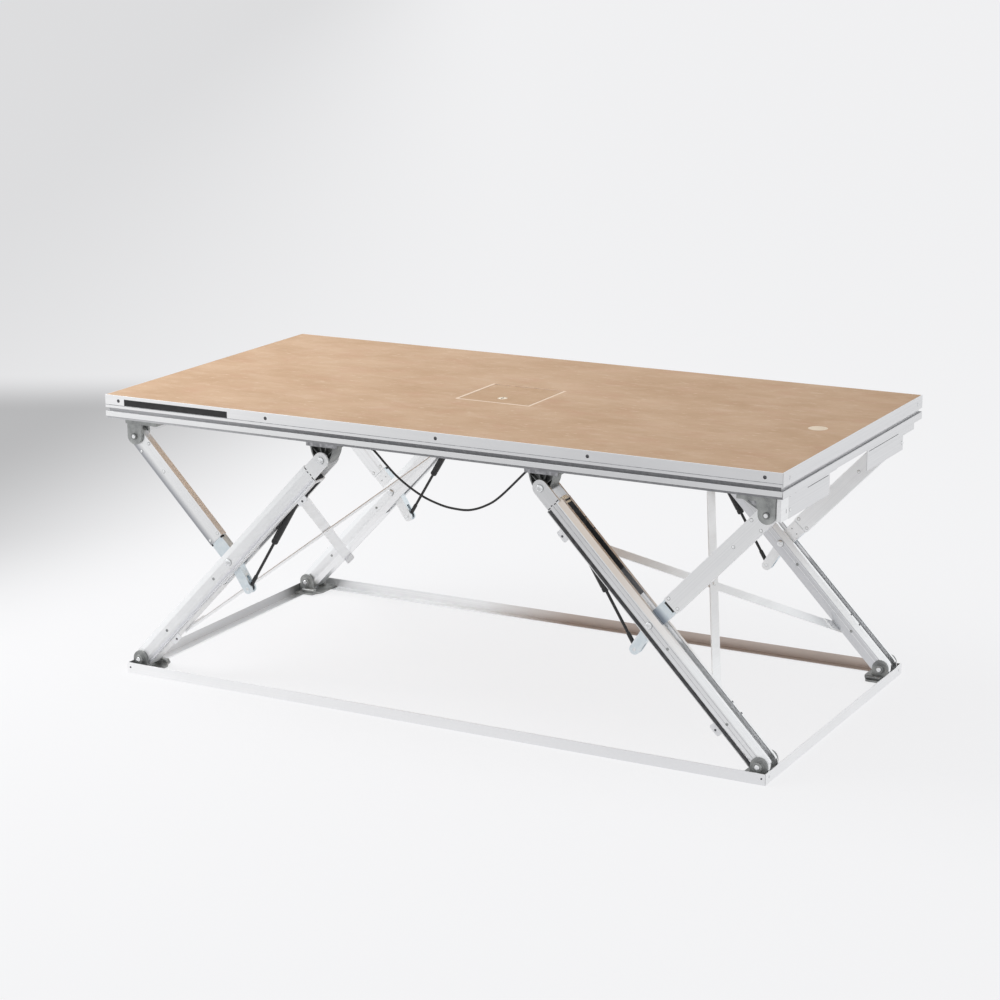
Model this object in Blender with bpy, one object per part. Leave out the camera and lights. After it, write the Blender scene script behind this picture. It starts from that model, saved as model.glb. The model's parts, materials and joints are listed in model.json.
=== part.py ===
# Folding platform table: a framed plywood deck on scissor legs over an angle base frame.
# Metres, +Z up, +X along the table, -Y its front. The floor is z = 0, under the middle.
import math

import bmesh
import bpy
from mathutils import Matrix, Vector

# Clearances
fit_gap = 0.0003
pin_gap = 0.0004
slide_gap = 0.0005

# Facets
round_sides = 16
small_sides = 12
bolt_sides = 6
half_round_steps = 10
corner_steps = 8
bowl_steps = 12
smooth_angle = math.radians(35.0)

# Deck and its edge rails
deck_length = 2.000
deck_width = 1.000
deck_height = 0.800
board_thickness = 0.018
rail_height = 0.066
rail_wall = 0.003
shelf_width = 0.040
foot_width = 0.118
foot_thickness = 0.005
groove_top = 0.036
groove_height = 0.010
groove_depth = 0.007
beam_offset = 0.450
beam_width = 0.040
beam_wall = 0.003

# Hatch, its tray and the release pull
hatch_size = 0.210
hatch_seam = 0.0012
hatch_pin_radius = 0.0025
hatch_pin_length = 0.006
lock_radius = 0.012
lock_from_front = 0.052
lock_slot_length = 0.0144
lock_slot_width = 0.003
lock_slot_depth = 0.003
tray_overlap = 0.012
tray_ledge = 0.010
tray_wall = 0.003
tray_depth = 0.040
pull_rod_radius = 0.004
pull_rod_length = 0.175
pull_grip_radius = 0.007
pull_grip_length = 0.100
pull_grip_x = 0.025
pull_drop = 0.040

# Base frame
base_end_inset = 0.031
base_side_inset = 0.0055
angle_size = 0.030
angle_wall = 0.003

# Linkage: each leg turns at the base corner, its strut halfway up and its slider at the top
base_pivot_inset = 0.029
base_pivot_height = 0.038
leg_plane_inset = 0.066
deck_pivot_drop = 0.056
leg_length = 0.886
folded_angle = math.radians(4.7)
pin_radius = 0.006
pin_head_radius = 0.009
pin_head_height = 0.004

# Leg section and ends
leg_half_width = 0.029
leg_lip_half_width = 0.022
leg_slot_half_width = 0.013
leg_rise = 0.027
leg_drop = 0.028
leg_shoulder = 0.014
leg_wall = 0.003
leg_inner_lean = 0.0015
leg_end_radius = 0.027
fork_length = 0.057
fork_half_height = 0.022
fork_plate = 0.005
fork_overlap = 0.002
leg_opening_below_middle = 0.075
leg_top_web = 0.012

# Strut and its lever bracket
strut_width = 0.024
strut_depth = 0.050
strut_wall = 0.0025
strut_overhang = 0.018
bracket_reach = 0.072
bracket_depth = 0.044
bracket_nose = 0.010
bracket_heel = 0.005
bracket_tongue = 0.030
lever_reach = 0.087
lever_offset = 0.017
lever_half_depth = 0.014
lever_root = 0.026
lever_heel = 0.014
lever_fork_half_gap = 0.006
lever_fork_depth = 0.030
lever_pin_radius = 0.004

# Gas spring
spring_pivot_from_middle = 0.365
spring_exposed_rod = 0.162
spring_rod_radius = 0.004
spring_rod_inside = 0.033
spring_socket_radius = 0.0055
spring_socket_length = 0.045
spring_body_radius = 0.0095
spring_eye_radius = 0.0085
spring_eye_half_width = 0.0055
spring_end_wall = 0.012
spring_neck_radius = 0.005

# Slider
slider_length = 0.096
slider_inward = 0.032
slider_outward = 0.044
slider_flange = 0.008
slider_half_width = 0.022
slider_drop = 0.015
slider_bow = 0.038
slider_rim = 0.005
slider_web = 0.006
slider_boss_radius = 0.012
key_length = 0.080
key_neck = 0.011
key_head = 0.022
key_head_height = 0.005
key_travel_spare = 0.004

# Corner castings
casting_flange = 0.008
casting_toward_end = 0.034
casting_toward_middle = 0.068
casting_inward = 0.035
casting_outward = 0.044
ear_radius = 0.0235
ear_thickness = 0.007
ear_gap = 0.001
gusset_reach = 0.064
gusset_foot = 0.012
base_plate_thickness = 0.006
base_plate_inward = 0.050
base_plate_inner_width = 0.042
base_plate_corner = 0.026
base_bolt_radius = 0.011
base_bolt_head = 0.008

# Cross braces under the leg pairs
brace_width = 0.030
brace_thickness = 0.003
brace_low = 0.153
brace_high = 0.745
brace_pad_length = 0.036
brace_pad_inset = 0.001

# End plates under the end rails
end_plate_setback = 0.0205
end_plate_start = 0.135
end_plate_end = 0.410
end_plate_height = 0.070
end_plate_wall = 0.003
end_plate_flange = 0.019

# Release cable, hung from two glands on the foot of the front rail
cable_radius = 0.003
cable_inset = 0.109
cable_step = 0.015
# Route as places along the table and drops below the rail
cable_route = [(-0.2240, 0.0155), (-0.199, 0.036), (-0.135, 0.094), (-0.066, 0.135), (-0.006, 0.155),
               (0.040, 0.161), (0.084, 0.159), (0.130, 0.142), (0.173, 0.113), (0.246, 0.041),
               (0.2705, 0.0165)]
cable_fine_steps = 40
gland_radius = 0.006
gland_plate_length = 0.026
gland_plate_width = 0.012
gland_plate_thickness = 0.004

# Places worked out from the sizes above
base_length = deck_length - 2 * base_end_inset
base_width = deck_width - 2 * base_side_inset
cable_plane = cable_inset - deck_width / 2
rail_bottom = deck_height - rail_height
foot_top = rail_bottom + foot_thickness
pivot_x = base_length / 2 - base_pivot_inset
leg_plane = deck_width / 2 - leg_plane_inset
deck_pivot_height = rail_bottom - deck_pivot_drop
leg_angle = math.asin((deck_pivot_height - base_pivot_height) / leg_length)
half_leg = leg_length / 2
slider_x = pivot_x - leg_length * math.cos(leg_angle)
slider_x_folded = pivot_x - leg_length * math.cos(folded_angle)
pin_end = leg_half_width + fit_gap + pin_head_height
board_bottom = deck_height - board_thickness


def clear_scene():
    for old in list(bpy.data.objects):
        bpy.data.objects.remove(old, do_unlink=True)


def make_material(name, color, roughness, metallic):
    material = bpy.data.materials.new(name)
    material.use_nodes = True
    shader = material.node_tree.nodes["Principled BSDF"]
    shader.inputs["Base Color"].default_value = (*color, 1.0)
    shader.inputs["Roughness"].default_value = roughness
    shader.inputs["Metallic"].default_value = metallic
    return material


def arc(center, radius, start_deg, end_deg, steps):
    points = []
    for step in range(steps + 1):
        angle = math.radians(start_deg + (end_deg - start_deg) * step / steps)
        points.append((center[0] + radius * math.cos(angle), center[1] + radius * math.sin(angle)))
    return points


# A closed outline drawn across an axis and extruded along it
def prism(outline, low, high, axis):
    order = {"x": lambda a, b, t: (t, a, b),
             "y": lambda a, b, t: (a, t, b),
             "z": lambda a, b, t: (a, b, t)}
    place = order[axis]
    build = bmesh.new()
    near = [build.verts.new(place(a, b, low)) for a, b in outline]
    far = [build.verts.new(place(a, b, high)) for a, b in outline]
    build.faces.new(near)
    build.faces.new(far)
    for index in range(len(outline)):
        following = (index + 1) % len(outline)
        build.faces.new((near[index], near[following], far[following], far[index]))
    return finish_mesh(build)


def finish_mesh(build):
    bmesh.ops.recalc_face_normals(build, faces=build.faces)
    mesh = bpy.data.meshes.new("shape")
    build.to_mesh(mesh)
    build.free()
    return mesh


def block(x_range, y_range, z_range):
    left, right = x_range
    low, high = z_range
    outline = [(left, low), (right, low), (right, high), (left, high)]
    return prism(outline, y_range[0], y_range[1], "y")


def pin(radius, low, high, center=(0.0, 0.0), axis="y", sides=round_sides):
    return prism(arc(center, radius, 0, 360 - 360 / sides, sides - 1), low, high, axis)


# A rod between two points
def rod_between(start, end, radius):
    start = Vector(start)
    reach = Vector(end) - start
    mesh = pin(radius, 0.0, reach.length, axis="z")
    mesh.transform(Matrix.Translation(start) @ reach.to_track_quat("Z", "Y").to_matrix().to_4x4())
    return mesh


def combine(base, operation, tools):
    scene = bpy.context.scene
    body = bpy.data.objects.new("body", base)
    scene.collection.objects.link(body)
    helpers = []
    for tool in tools:
        helper = bpy.data.objects.new("tool", tool)
        scene.collection.objects.link(helper)
        helpers.append(helper)
        change = body.modifiers.new("change", "BOOLEAN")
        change.operation = operation
        change.object = helper
    evaluated = body.evaluated_get(bpy.context.evaluated_depsgraph_get())
    result = bpy.data.meshes.new_from_object(evaluated)
    for helper in helpers + [body]:
        bpy.data.objects.remove(helper, do_unlink=True)
    return result


def join(base, *tools):
    return combine(base, "UNION", tools)


def cut(base, *tools):
    return combine(base, "DIFFERENCE", tools)


def mirrored(mesh):
    copy = mesh.copy()
    copy.transform(Matrix.Diagonal((1.0, -1.0, 1.0, 1.0)))
    copy.flip_normals()
    return copy


def add_pivot(name, location):
    pivot = bpy.data.objects.new(name, None)
    pivot.location = location
    bpy.context.scene.collection.objects.link(pivot)
    return pivot


def add_piece(name, mesh, material, location=(0, 0, 0), rotation=(0, 0, 0), parent=None):
    piece = bpy.data.objects.new(name, mesh)
    if not mesh.materials:
        mesh.materials.append(material)
    piece.location = location
    piece.rotation_euler = rotation
    bpy.context.scene.collection.objects.link(piece)
    if parent:
        piece.parent = parent
        piece.matrix_parent_inverse = Matrix.Translation(parent.location).inverted()
    return piece


# A bar along X with mitred ends: its section is drawn as (inward, up) from its outer lower edge
def mitred_bar(section, length):
    build = bmesh.new()
    ends = []
    for side in (-1, 1):
        reach = length / 2 - fit_gap
        ends.append([build.verts.new((side * (reach - inward), inward, up)) for inward, up in section])
    build.faces.new(ends[0])
    build.faces.new(ends[1])
    for index in range(len(section)):
        following = (index + 1) % len(section)
        build.faces.new((ends[0][index], ends[0][following], ends[1][following], ends[1][index]))
    return finish_mesh(build)


def frame_places(length, width, height):
    return {"front": ((0, -width / 2, height), 0.0), "right": ((length / 2, 0, height), math.pi / 2),
            "back": ((0, width / 2, height), math.pi), "left": ((-length / 2, 0, height), -math.pi / 2)}


def rail_section():
    shelf_top = rail_height - board_thickness - fit_gap
    shelf_low = shelf_top - rail_wall
    groove_high = rail_height - groove_top
    groove_low = groove_high - groove_height
    deep = groove_depth + rail_wall
    return [(0, 0), (foot_width, 0), (foot_width, foot_thickness), (rail_wall, foot_thickness),
            (rail_wall, groove_low - rail_wall), (deep, groove_low - rail_wall),
            (deep, groove_high + rail_wall), (rail_wall, groove_high + rail_wall),
            (rail_wall, shelf_low), (shelf_width, shelf_low),
            (shelf_width, shelf_top), (rail_wall, shelf_top), (rail_wall, rail_height), (0, rail_height),
            (0, groove_high), (groove_depth, groove_high), (groove_depth, groove_low), (0, groove_low)]


# Slots in the long rails' feet, where the slider keys run
def key_slots():
    slots = []
    reach = key_length / 2 + key_travel_spare
    half = key_neck / 2 + slide_gap
    across = (leg_plane_inset - half, leg_plane_inset + half)
    for side in (-1, 1):
        ends = sorted((side * (slider_x_folded - reach), side * (slider_x + reach)))
        slots.append(block(ends, across, (-fit_gap, foot_thickness + fit_gap)))
    return slots


def add_rails(material, deck):
    section = rail_section()
    long_rail = cut(mitred_bar(section, deck_length), *key_slots())
    short_rail = mitred_bar(section, deck_width)
    for name, (location, turn) in frame_places(deck_length, deck_width, rail_bottom).items():
        mesh = long_rail if name in ("front", "back") else short_rail
        add_piece(f"rail_{name}", mesh, material, location, (0, 0, turn), deck)


def add_board(material, deck):
    half_x = deck_length / 2 - rail_wall - fit_gap
    half_y = deck_width / 2 - rail_wall - fit_gap
    opening = hatch_size / 2 + hatch_seam
    board = block((-half_x, half_x), (-half_y, half_y), (board_bottom, deck_height))
    hole = block((-opening, opening), (-opening, opening), (board_bottom - fit_gap, deck_height + fit_gap))
    reach = hatch_size / 2 + hatch_pin_length + fit_gap
    bore = pin(hatch_pin_radius + fit_gap, -reach, reach, hatch_axis(), "x", small_sides)
    add_piece("deck_board", cut(board, join(hole, bore)), material, parent=deck)


# The lid turns about an axis half its thickness in from its rounded back edge
def hatch_axis():
    return (hatch_size / 2 - board_thickness / 2, deck_height - board_thickness / 2)


def add_hatch(wood, metal):
    half = hatch_size / 2
    axis_y, axis_z = hatch_axis()
    nose = arc((axis_y, axis_z), board_thickness / 2, -90, 90, corner_steps)
    lid = prism([(-half, board_bottom)] + nose + [(-half, deck_height)], -half, half, "x")
    reach = half + hatch_pin_length
    lid = join(lid, pin(hatch_pin_radius, -reach, reach, (axis_y, axis_z), "x", small_sides))
    lock_y = -half + lock_from_front
    lock_bore = pin(lock_radius + fit_gap, board_bottom - fit_gap, deck_height + fit_gap, (0, lock_y), "z")
    lock = pin(lock_radius, board_bottom, deck_height, (0, lock_y), "z")
    pivot = add_pivot("hatch_pivot", (0, axis_y, axis_z))
    add_piece("hatch_lid", cut(lid, lock_bore), wood, parent=pivot)
    lock_pivot = add_pivot("hatch_lock_pivot", (0, lock_y, deck_height))
    half_slot = lock_slot_width / 2
    slot = block((-lock_slot_length / 2, lock_slot_length / 2), (lock_y - half_slot, lock_y + half_slot),
                 (deck_height - lock_slot_depth, deck_height + fit_gap))
    add_piece("hatch_lock", cut(lock, slot), metal, parent=lock_pivot)


def add_tray(material, deck):
    top = board_bottom - fit_gap
    outer = hatch_size / 2 + tray_overlap
    inner = outer - tray_wall
    mouth = hatch_size / 2 - tray_ledge
    tray = block((-outer, outer), (-outer, outer), (top - tray_depth, top))
    room = block((-inner, inner), (-inner, inner), (top - tray_depth + tray_wall, top - tray_wall))
    opening = block((-mouth, mouth), (-mouth, mouth), (top - tray_depth / 2, top + fit_gap))
    bore = pin(pull_rod_radius + fit_gap, -outer - fit_gap, -inner + fit_gap, (0, deck_height - pull_drop),
               "x", small_sides)
    add_piece("hatch_tray", cut(tray, join(room, opening), bore), material, parent=deck)


def add_release_pull(material):
    height = deck_height - pull_drop
    grip = pin(pull_grip_radius, -pull_grip_length / 2, pull_grip_length / 2, (pull_grip_x, height))
    stem = pin(pull_rod_radius, pull_grip_x - pull_rod_length, pull_grip_x, (0, height), "x", small_sides)
    pivot = add_pivot("release_pull_axis", (pull_grip_x, 0, height))
    add_piece("release_pull", join(grip, stem), material, parent=pivot)


def add_beams(material, deck):
    low = foot_top + fit_gap
    high = board_bottom - fit_gap
    half = beam_width / 2
    inside = half - beam_wall
    outline = [(-half, low), (-inside, low), (-inside, high - beam_wall), (inside, high - beam_wall),
               (inside, low), (half, low), (half, high), (-half, high)]
    reach = deck_width / 2 - shelf_width - fit_gap
    mesh = prism(outline, -reach, reach, "y")
    for name, side in (("left", -1), ("right", 1)):
        add_piece(f"cross_beam_{name}", mesh, material, (side * beam_offset, 0, 0), parent=deck)


def add_base_bars(material):
    section = [(0, 0), (angle_size, 0), (angle_size, angle_wall), (angle_wall, angle_wall),
               (angle_wall, angle_size), (0, angle_size)]
    for name, (location, turn) in frame_places(base_length, base_width, 0.0).items():
        length = base_length if name in ("front", "back") else base_width
        add_piece(f"base_bar_{name}", mitred_bar(section, length), material, location, (0, 0, turn))


# Leg section across the leg, open along its upper side
def leg_section():
    outer = [(leg_slot_half_width, leg_rise), (leg_lip_half_width, leg_rise),
             (leg_half_width, leg_rise - leg_shoulder), (leg_half_width, leg_shoulder - leg_drop),
             (leg_lip_half_width, -leg_drop)]
    lean = leg_inner_lean
    inner = [(leg_lip_half_width - lean, leg_wall - leg_drop),
             (leg_half_width - leg_wall, leg_shoulder - leg_drop + lean / 2),
             (leg_half_width - leg_wall, leg_rise - leg_shoulder - lean / 2),
             (leg_lip_half_width - lean, leg_rise - leg_wall), (leg_slot_half_width, leg_rise - leg_wall)]
    left_outer = [(-a, b) for a, b in reversed(outer)]
    left_inner = [(-a, b) for a, b in reversed(inner)]
    return outer + left_outer + left_inner + inner


def leg_mesh():
    section_end = leg_length - fork_length
    far = leg_length + fork_half_height
    body = prism(leg_section(), -leg_end_radius - fit_gap, section_end, "x")
    tall = leg_rise + leg_drop
    rounded = arc((0, 0), leg_end_radius, 90, 270, half_round_steps)
    rounded += [(0, -tall), (far, -tall), (far, tall), (0, tall)]
    body = combine(body, "INTERSECT", [prism(rounded, -tall, tall, "y")])
    fork_root = section_end - fork_overlap
    plate = [(fork_root, -fork_half_height)]
    plate += arc((leg_length, 0), fork_half_height, -90, 90, half_round_steps)
    plate += [(fork_root, fork_half_height)]
    inside = leg_half_width - fork_plate
    body = join(body, prism(plate, inside, leg_half_width, "y"), prism(plate, -leg_half_width, -inside, "y"))
    opening = block((half_leg - leg_opening_below_middle, section_end - leg_top_web),
                    (-leg_slot_half_width, leg_slot_half_width), (-tall, leg_wall * 2 - leg_drop))
    bores = [pin(pin_radius + pin_gap, -tall, tall, (place, 0)) for place in (0.0, half_leg, leg_length)]
    return cut(body, opening, *bores)


def strut_mesh():
    ends = (-half_leg - strut_overhang, -bracket_reach - fit_gap)
    half_w = strut_width / 2
    half_d = strut_depth / 2
    tube = block(ends, (-half_w, half_w), (-half_d, half_d))
    room = block((ends[0] - fit_gap, ends[1] + fit_gap), (strut_wall - half_w, half_w - strut_wall),
                 (strut_wall - half_d, half_d - strut_wall))
    return cut(tube, room, pin(pin_radius + pin_gap, -strut_width, strut_width, (-half_leg, 0)))


# Zinc bracket: a tongue in the strut, the middle pivot, and a forked lever for the gas spring
def bracket_mesh():
    half = bracket_depth / 2
    half_w = strut_width / 2
    tip = (lever_reach, -lever_offset)
    lean = math.degrees(math.atan2(-lever_offset, lever_reach))
    along = Vector(tip).normalized()
    across = Vector((-along.y, along.x)) * lever_half_depth
    outline = [(-bracket_reach, half), (bracket_nose, half), tuple(along * lever_root + across)]
    outline += arc(tip, lever_half_depth, 90 + lean, lean - 90, corner_steps)
    outline += [tuple(along * lever_heel - across), (-bracket_heel, -half), (-bracket_reach, -half)]
    body = prism(outline, -half_w, half_w, "y")
    tongue_w = half_w - strut_wall - fit_gap
    tongue_d = min(half, strut_depth / 2 - strut_wall) - fit_gap
    tongue = block((-bracket_reach - bracket_tongue, -bracket_reach + bracket_tongue), (-tongue_w, tongue_w),
                   (-tongue_d, tongue_d))
    fork = block((lever_reach - lever_fork_depth, lever_reach + bracket_depth),
                 (-lever_fork_half_gap, lever_fork_half_gap), (-bracket_depth * 2, bracket_depth * 2))
    body = cut(join(body, tongue), fork)
    heads = [pin(pin_head_radius, side * (leg_half_width + fit_gap), side * pin_end) for side in (-1, 1)]
    lever_pin = pin(lever_pin_radius, -half_w + fit_gap, half_w - fit_gap, tip, sides=small_sides)
    return join(body, pin(pin_radius, -pin_end + fit_gap, pin_end - fit_gap), *heads, lever_pin)


# Where the gas spring runs, in the leg's own plane: from the lever's tip to its pivot up the leg
def spring_line():
    tip = Matrix.Rotation(-2 * leg_angle, 2) @ Vector((lever_reach, -lever_offset))
    reach = Vector((spring_pivot_from_middle, 0)) - tip
    return tip, reach


def spring_rod_mesh():
    eye = pin(spring_eye_radius, -spring_eye_half_width, spring_eye_half_width)
    stem = pin(spring_rod_radius, 0.0, spring_exposed_rod + spring_rod_inside, axis="x", sides=small_sides)
    socket = pin(spring_socket_radius, 0.0, spring_socket_length, axis="x", sides=small_sides)
    hole = pin(lever_pin_radius + pin_gap, -strut_width, strut_width, sides=small_sides)
    return cut(join(eye, socket, stem), hole)


def spring_body_mesh(length):
    body_end = length - spring_end_wall
    body = pin(spring_body_radius, spring_exposed_rod, body_end, axis="x", sides=small_sides)
    neck = pin(spring_neck_radius, body_end - spring_end_wall / 2, length, axis="x", sides=small_sides)
    eye = pin(spring_eye_radius, -spring_eye_half_width, spring_eye_half_width, (length, 0))
    bore_end = body_end - spring_end_wall
    bore = pin(spring_rod_radius + pin_gap, spring_exposed_rod - fit_gap, bore_end, axis="x",
               sides=small_sides)
    hole = pin(lever_pin_radius + pin_gap, -strut_width, strut_width, (length, 0), sides=small_sides)
    return cut(join(body, neck, eye), bore, hole)


# Slider for a front rail: its flange reaches further out than in
def slider_mesh():
    top = deck_pivot_drop - fit_gap
    under = top - slider_flange
    flange = block((-slider_length / 2, slider_length / 2), (-slider_outward, slider_inward), (under, top))
    center = (0.0, under + fit_gap)
    tall = center[1] + slider_drop
    bowl = [(slider_bow * math.cos(a), center[1] + tall * math.sin(a)) for a in
            [math.pi + math.pi * step / bowl_steps for step in range(bowl_steps + 1)]]
    body = prism(bowl, -slider_half_width, slider_half_width, "y")
    hollow = [(a * (slider_bow - slider_rim) / slider_bow, center[1] - slider_rim + (b - center[1]) *
               (tall - 2 * slider_rim) / tall) for a, b in bowl]
    pockets = [prism(hollow, slider_web / 2, slider_outward, "y"),
               prism(hollow, -slider_outward, -slider_web / 2, "y")]
    boss = pin(slider_boss_radius, -slider_half_width, slider_half_width)
    heads = [pin(pin_head_radius, side * (leg_half_width + fit_gap), side * pin_end) for side in (-1, 1)]
    head_low = top + foot_thickness + 2 * fit_gap
    half_key = key_length / 2
    neck = block((-half_key, half_key), (-key_neck / 2, key_neck / 2), (top - fit_gap, head_low + fit_gap))
    head = block((-half_key, half_key), (-key_head / 2, key_head / 2), (head_low, head_low + key_head_height))
    axle = pin(pin_radius, -pin_end + fit_gap, pin_end - fit_gap)
    return join(flange, cut(body, *pockets), boss, axle, *heads, neck, head)


# Deck casting for a left front corner: the right end's castings also have gussets
def deck_casting_mesh(gusseted):
    top = deck_pivot_drop - fit_gap
    under = top - casting_flange
    flange = block((-casting_toward_end, casting_toward_middle), (-casting_outward, casting_inward), (under, top))
    outline = arc((0, 0), ear_radius, 180, 360, half_round_steps)
    if gusseted:
        outline += [(ear_radius, gusset_foot), (gusset_reach, under + fit_gap)]
    else:
        outline += [(ear_radius, under + fit_gap)]
    outline += [(-ear_radius, under + fit_gap)]
    inside = strut_width / 2 + ear_gap
    outside = inside + ear_thickness
    ears = [prism(outline, side * inside, side * outside, "y") for side in (-1, 1)]
    shank = outside + pin_head_height
    heads = [pin(pin_head_radius, side * (outside - fit_gap), side * shank) for side in (-1, 1)]
    return join(flange, *ears, pin(pin_radius, fit_gap - shank, shank - fit_gap), *heads)


# Base corner casting for a front left corner: a rounded plate on both flanges and two ears
def base_casting_mesh():
    low = angle_wall + fit_gap - base_pivot_height
    high = low + base_plate_thickness
    wall_x = angle_wall + fit_gap - base_pivot_inset
    wall_y = leg_plane - base_width / 2 + angle_wall + fit_gap
    corner = base_plate_corner
    outline = [(wall_x, wall_y), (base_plate_inward, wall_y)]
    outline += arc((base_plate_inward - corner, base_plate_inner_width - corner), corner, 0, 90, corner_steps)
    outline += [(wall_x, base_plate_inner_width)]
    plate = prism(outline, low, high, "z")
    ear_outline = arc((0, 0), ear_radius, 0, 180, half_round_steps)
    ear_outline += [(-ear_radius, high - fit_gap), (ear_radius, high - fit_gap)]
    inside = leg_half_width + ear_gap
    outside = inside + ear_thickness
    ears = [prism(ear_outline, side * inside, side * outside, "y") for side in (-1, 1)]
    bolt_end = outside + base_bolt_head
    heads = []
    for side in (-1, 1):
        heads.append(pin(base_bolt_radius, side * (outside - fit_gap), side * bolt_end, sides=bolt_sides))
    return join(plate, *ears, pin(pin_radius, fit_gap - bolt_end, bolt_end - fit_gap), *heads)


# Flat bar under a leg pair, from one leg high up to the other low down
def brace_mesh(depth, pads):
    top = -leg_drop - fit_gap
    reach = leg_plane - leg_slot_half_width - fit_gap
    run = Vector((brace_low - brace_high, 2 * leg_plane))
    slant = brace_width / 2 * run.length / run.y
    slope = run.x / run.y
    middle = (brace_low + brace_high) / 2

    def along(y, offset):
        return (middle + slope * y + offset, y)
    outline = [along(-reach, -slant), along(-reach, slant), along(reach, slant), along(reach, -slant)]
    bar = prism(outline, top - depth - brace_thickness, top - depth, "z")
    if not pads:
        return bar
    feet = []
    half = slant - brace_pad_inset
    for side in (-1, 1):
        outer = side * (reach - brace_pad_inset)
        inner = side * (reach - brace_pad_length)
        foot = [along(outer, -half), along(outer, half), along(inner, half), along(inner, -half)]
        feet.append(prism(foot, top - depth - fit_gap, top, "z"))
    return join(bar, *feet)


# End plate for the back half of the left end: a folded strip under the end rail
def end_plate_mesh():
    face = -deck_length / 2 + end_plate_setback
    top = rail_bottom - fit_gap
    low = top - end_plate_height
    inner = face + end_plate_wall
    edge = face - end_plate_flange
    under = top - end_plate_wall
    outline = [(face, low), (inner, low), (inner, top), (edge, top), (edge, under), (face, under)]
    return prism(outline, end_plate_start, end_plate_end, "y")


def leg_point(base_pivot, along, across):
    return (base_pivot[0] + along * math.cos(leg_angle) - across * math.sin(leg_angle),
            base_pivot[1] + along * math.sin(leg_angle) + across * math.cos(leg_angle))


def end_shapes(spring_length, gusseted):
    shapes = {"leg": leg_mesh(), "strut": strut_mesh(), "bracket": bracket_mesh(), "rod": spring_rod_mesh(),
              "body": spring_body_mesh(spring_length), "slider_front": slider_mesh(),
              "deck_front": deck_casting_mesh(gusseted), "base_front": base_casting_mesh(),
              "plate_back": end_plate_mesh()}
    for name in ("slider", "deck", "base"):
        shapes[f"{name}_back"] = mirrored(shapes[f"{name}_front"])
    shapes["plate_front"] = mirrored(shapes["plate_back"])
    return shapes


# Everything at the left end, then the same turned half round for the right end
def add_end(end, turn, metals, deck):
    spin = Matrix.Rotation(turn, 4, "Z")
    tip, reach = spring_line()
    spring_tilt = -leg_angle - math.atan2(reach.y, reach.x)
    shapes = end_shapes(reach.length, end == "right")
    base = (-pivot_x, base_pivot_height)
    middle = leg_point(base, half_leg, 0.0)
    lever_tip = leg_point(base, half_leg + tip.x, tip.y)
    for side, near in ((-1, "front"), (1, "back")):
        corner = f"{end}_{'front' if (side < 0) == (turn == 0) else 'back'}"

        def put(name, shape, metal, place, tilt=0.0, across=side * leg_plane, parent=None):
            location = spin @ Vector((place[0], across, place[1]))
            add_piece(f"{name}_{corner}", shapes[shape], metals[metal], location, (0, tilt, turn), parent)
        put("leg", "leg", "aluminium", base, -leg_angle)
        put("strut", "strut", "aluminium", middle, leg_angle)
        put("strut_bracket", "bracket", "zinc", middle, leg_angle)
        put("slider", f"slider_{near}", "casting", (-slider_x, deck_pivot_height))
        put("spring_rod", "rod", "black", lever_tip, spring_tilt)
        put("spring_body", "body", "black", lever_tip, spring_tilt)
        put("deck_casting", f"deck_{near}", "casting", (-pivot_x, deck_pivot_height), parent=deck)
        put("base_casting", f"base_{near}", "casting", base)
        put("end_plate", f"plate_{near}", "aluminium", (0.0, 0.0), across=0.0, parent=deck)
    low_bar = brace_mesh(brace_thickness + fit_gap, True)
    for name, mesh in (("upper", brace_mesh(0.0, False)), ("lower", mirrored(low_bar))):
        location = spin @ Vector((base[0], 0, base[1]))
        add_piece(f"brace_{name}_{end}", mesh, metals["aluminium"], location, (0, -leg_angle, turn))


# Points at an even step along a smooth curve through the route
def smooth_route(route, step):
    ends = [2 * route[0] - route[1]] + route + [2 * route[-1] - route[-2]]
    fine = []
    for before, start, end, after in zip(ends, ends[1:], ends[2:], ends[3:]):
        for part in range(cable_fine_steps):
            t = part / cable_fine_steps
            bend = (2 * before - 5 * start + 4 * end - after) * t ** 2
            twist = (3 * start - before - 3 * end + after) * t ** 3
            fine.append(0.5 * (2 * start + (end - before) * t + bend + twist))
    fine.append(route[-1])
    lengths = [0.0]
    for here, there in zip(fine, fine[1:]):
        lengths.append(lengths[-1] + (there - here).length)
    count = round(lengths[-1] / step)
    points = []
    at = 0
    for index in range(count + 1):
        target = lengths[-1] * index / count
        while at < len(lengths) - 2 and lengths[at + 1] < target:
            at += 1
        share = (target - lengths[at]) / (lengths[at + 1] - lengths[at])
        points.append(fine[at].lerp(fine[at + 1], share))
    return points


def add_cable(black, casting, deck):
    route = [Vector((x, cable_plane, rail_bottom - drop)) for x, drop in cable_route]
    points = smooth_route(route, cable_step)
    curve = bpy.data.curves.new("release_cable", "CURVE")
    curve.dimensions = "3D"
    curve.bevel_depth = cable_radius
    curve.bevel_resolution = 2
    curve.use_fill_caps = True
    spline = curve.splines.new("POLY")
    spline.points.add(len(points) - 1)
    for point, place in zip(spline.points, points):
        point.co = (*place, 1.0)
    add_piece("release_cable", curve, black, parent=deck)
    top = rail_bottom - fit_gap
    for name, tip, inner in (("left", points[0], points[1]), ("right", points[-1], points[-2])):
        lead = (tip - inner).normalized()
        start = tip + lead * fit_gap
        root = start + lead * ((top - gland_radius - start.z) / lead.z)
        stub = rod_between(start, root, gland_radius)
        plate = block((root.x - gland_plate_length / 2, root.x + gland_plate_length / 2),
                      (cable_plane - gland_plate_width / 2, cable_plane + gland_plate_width / 2),
                      (top - gland_plate_thickness, top))
        add_piece(f"cable_gland_{name}", join(plate, stub), casting, parent=deck)


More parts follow.
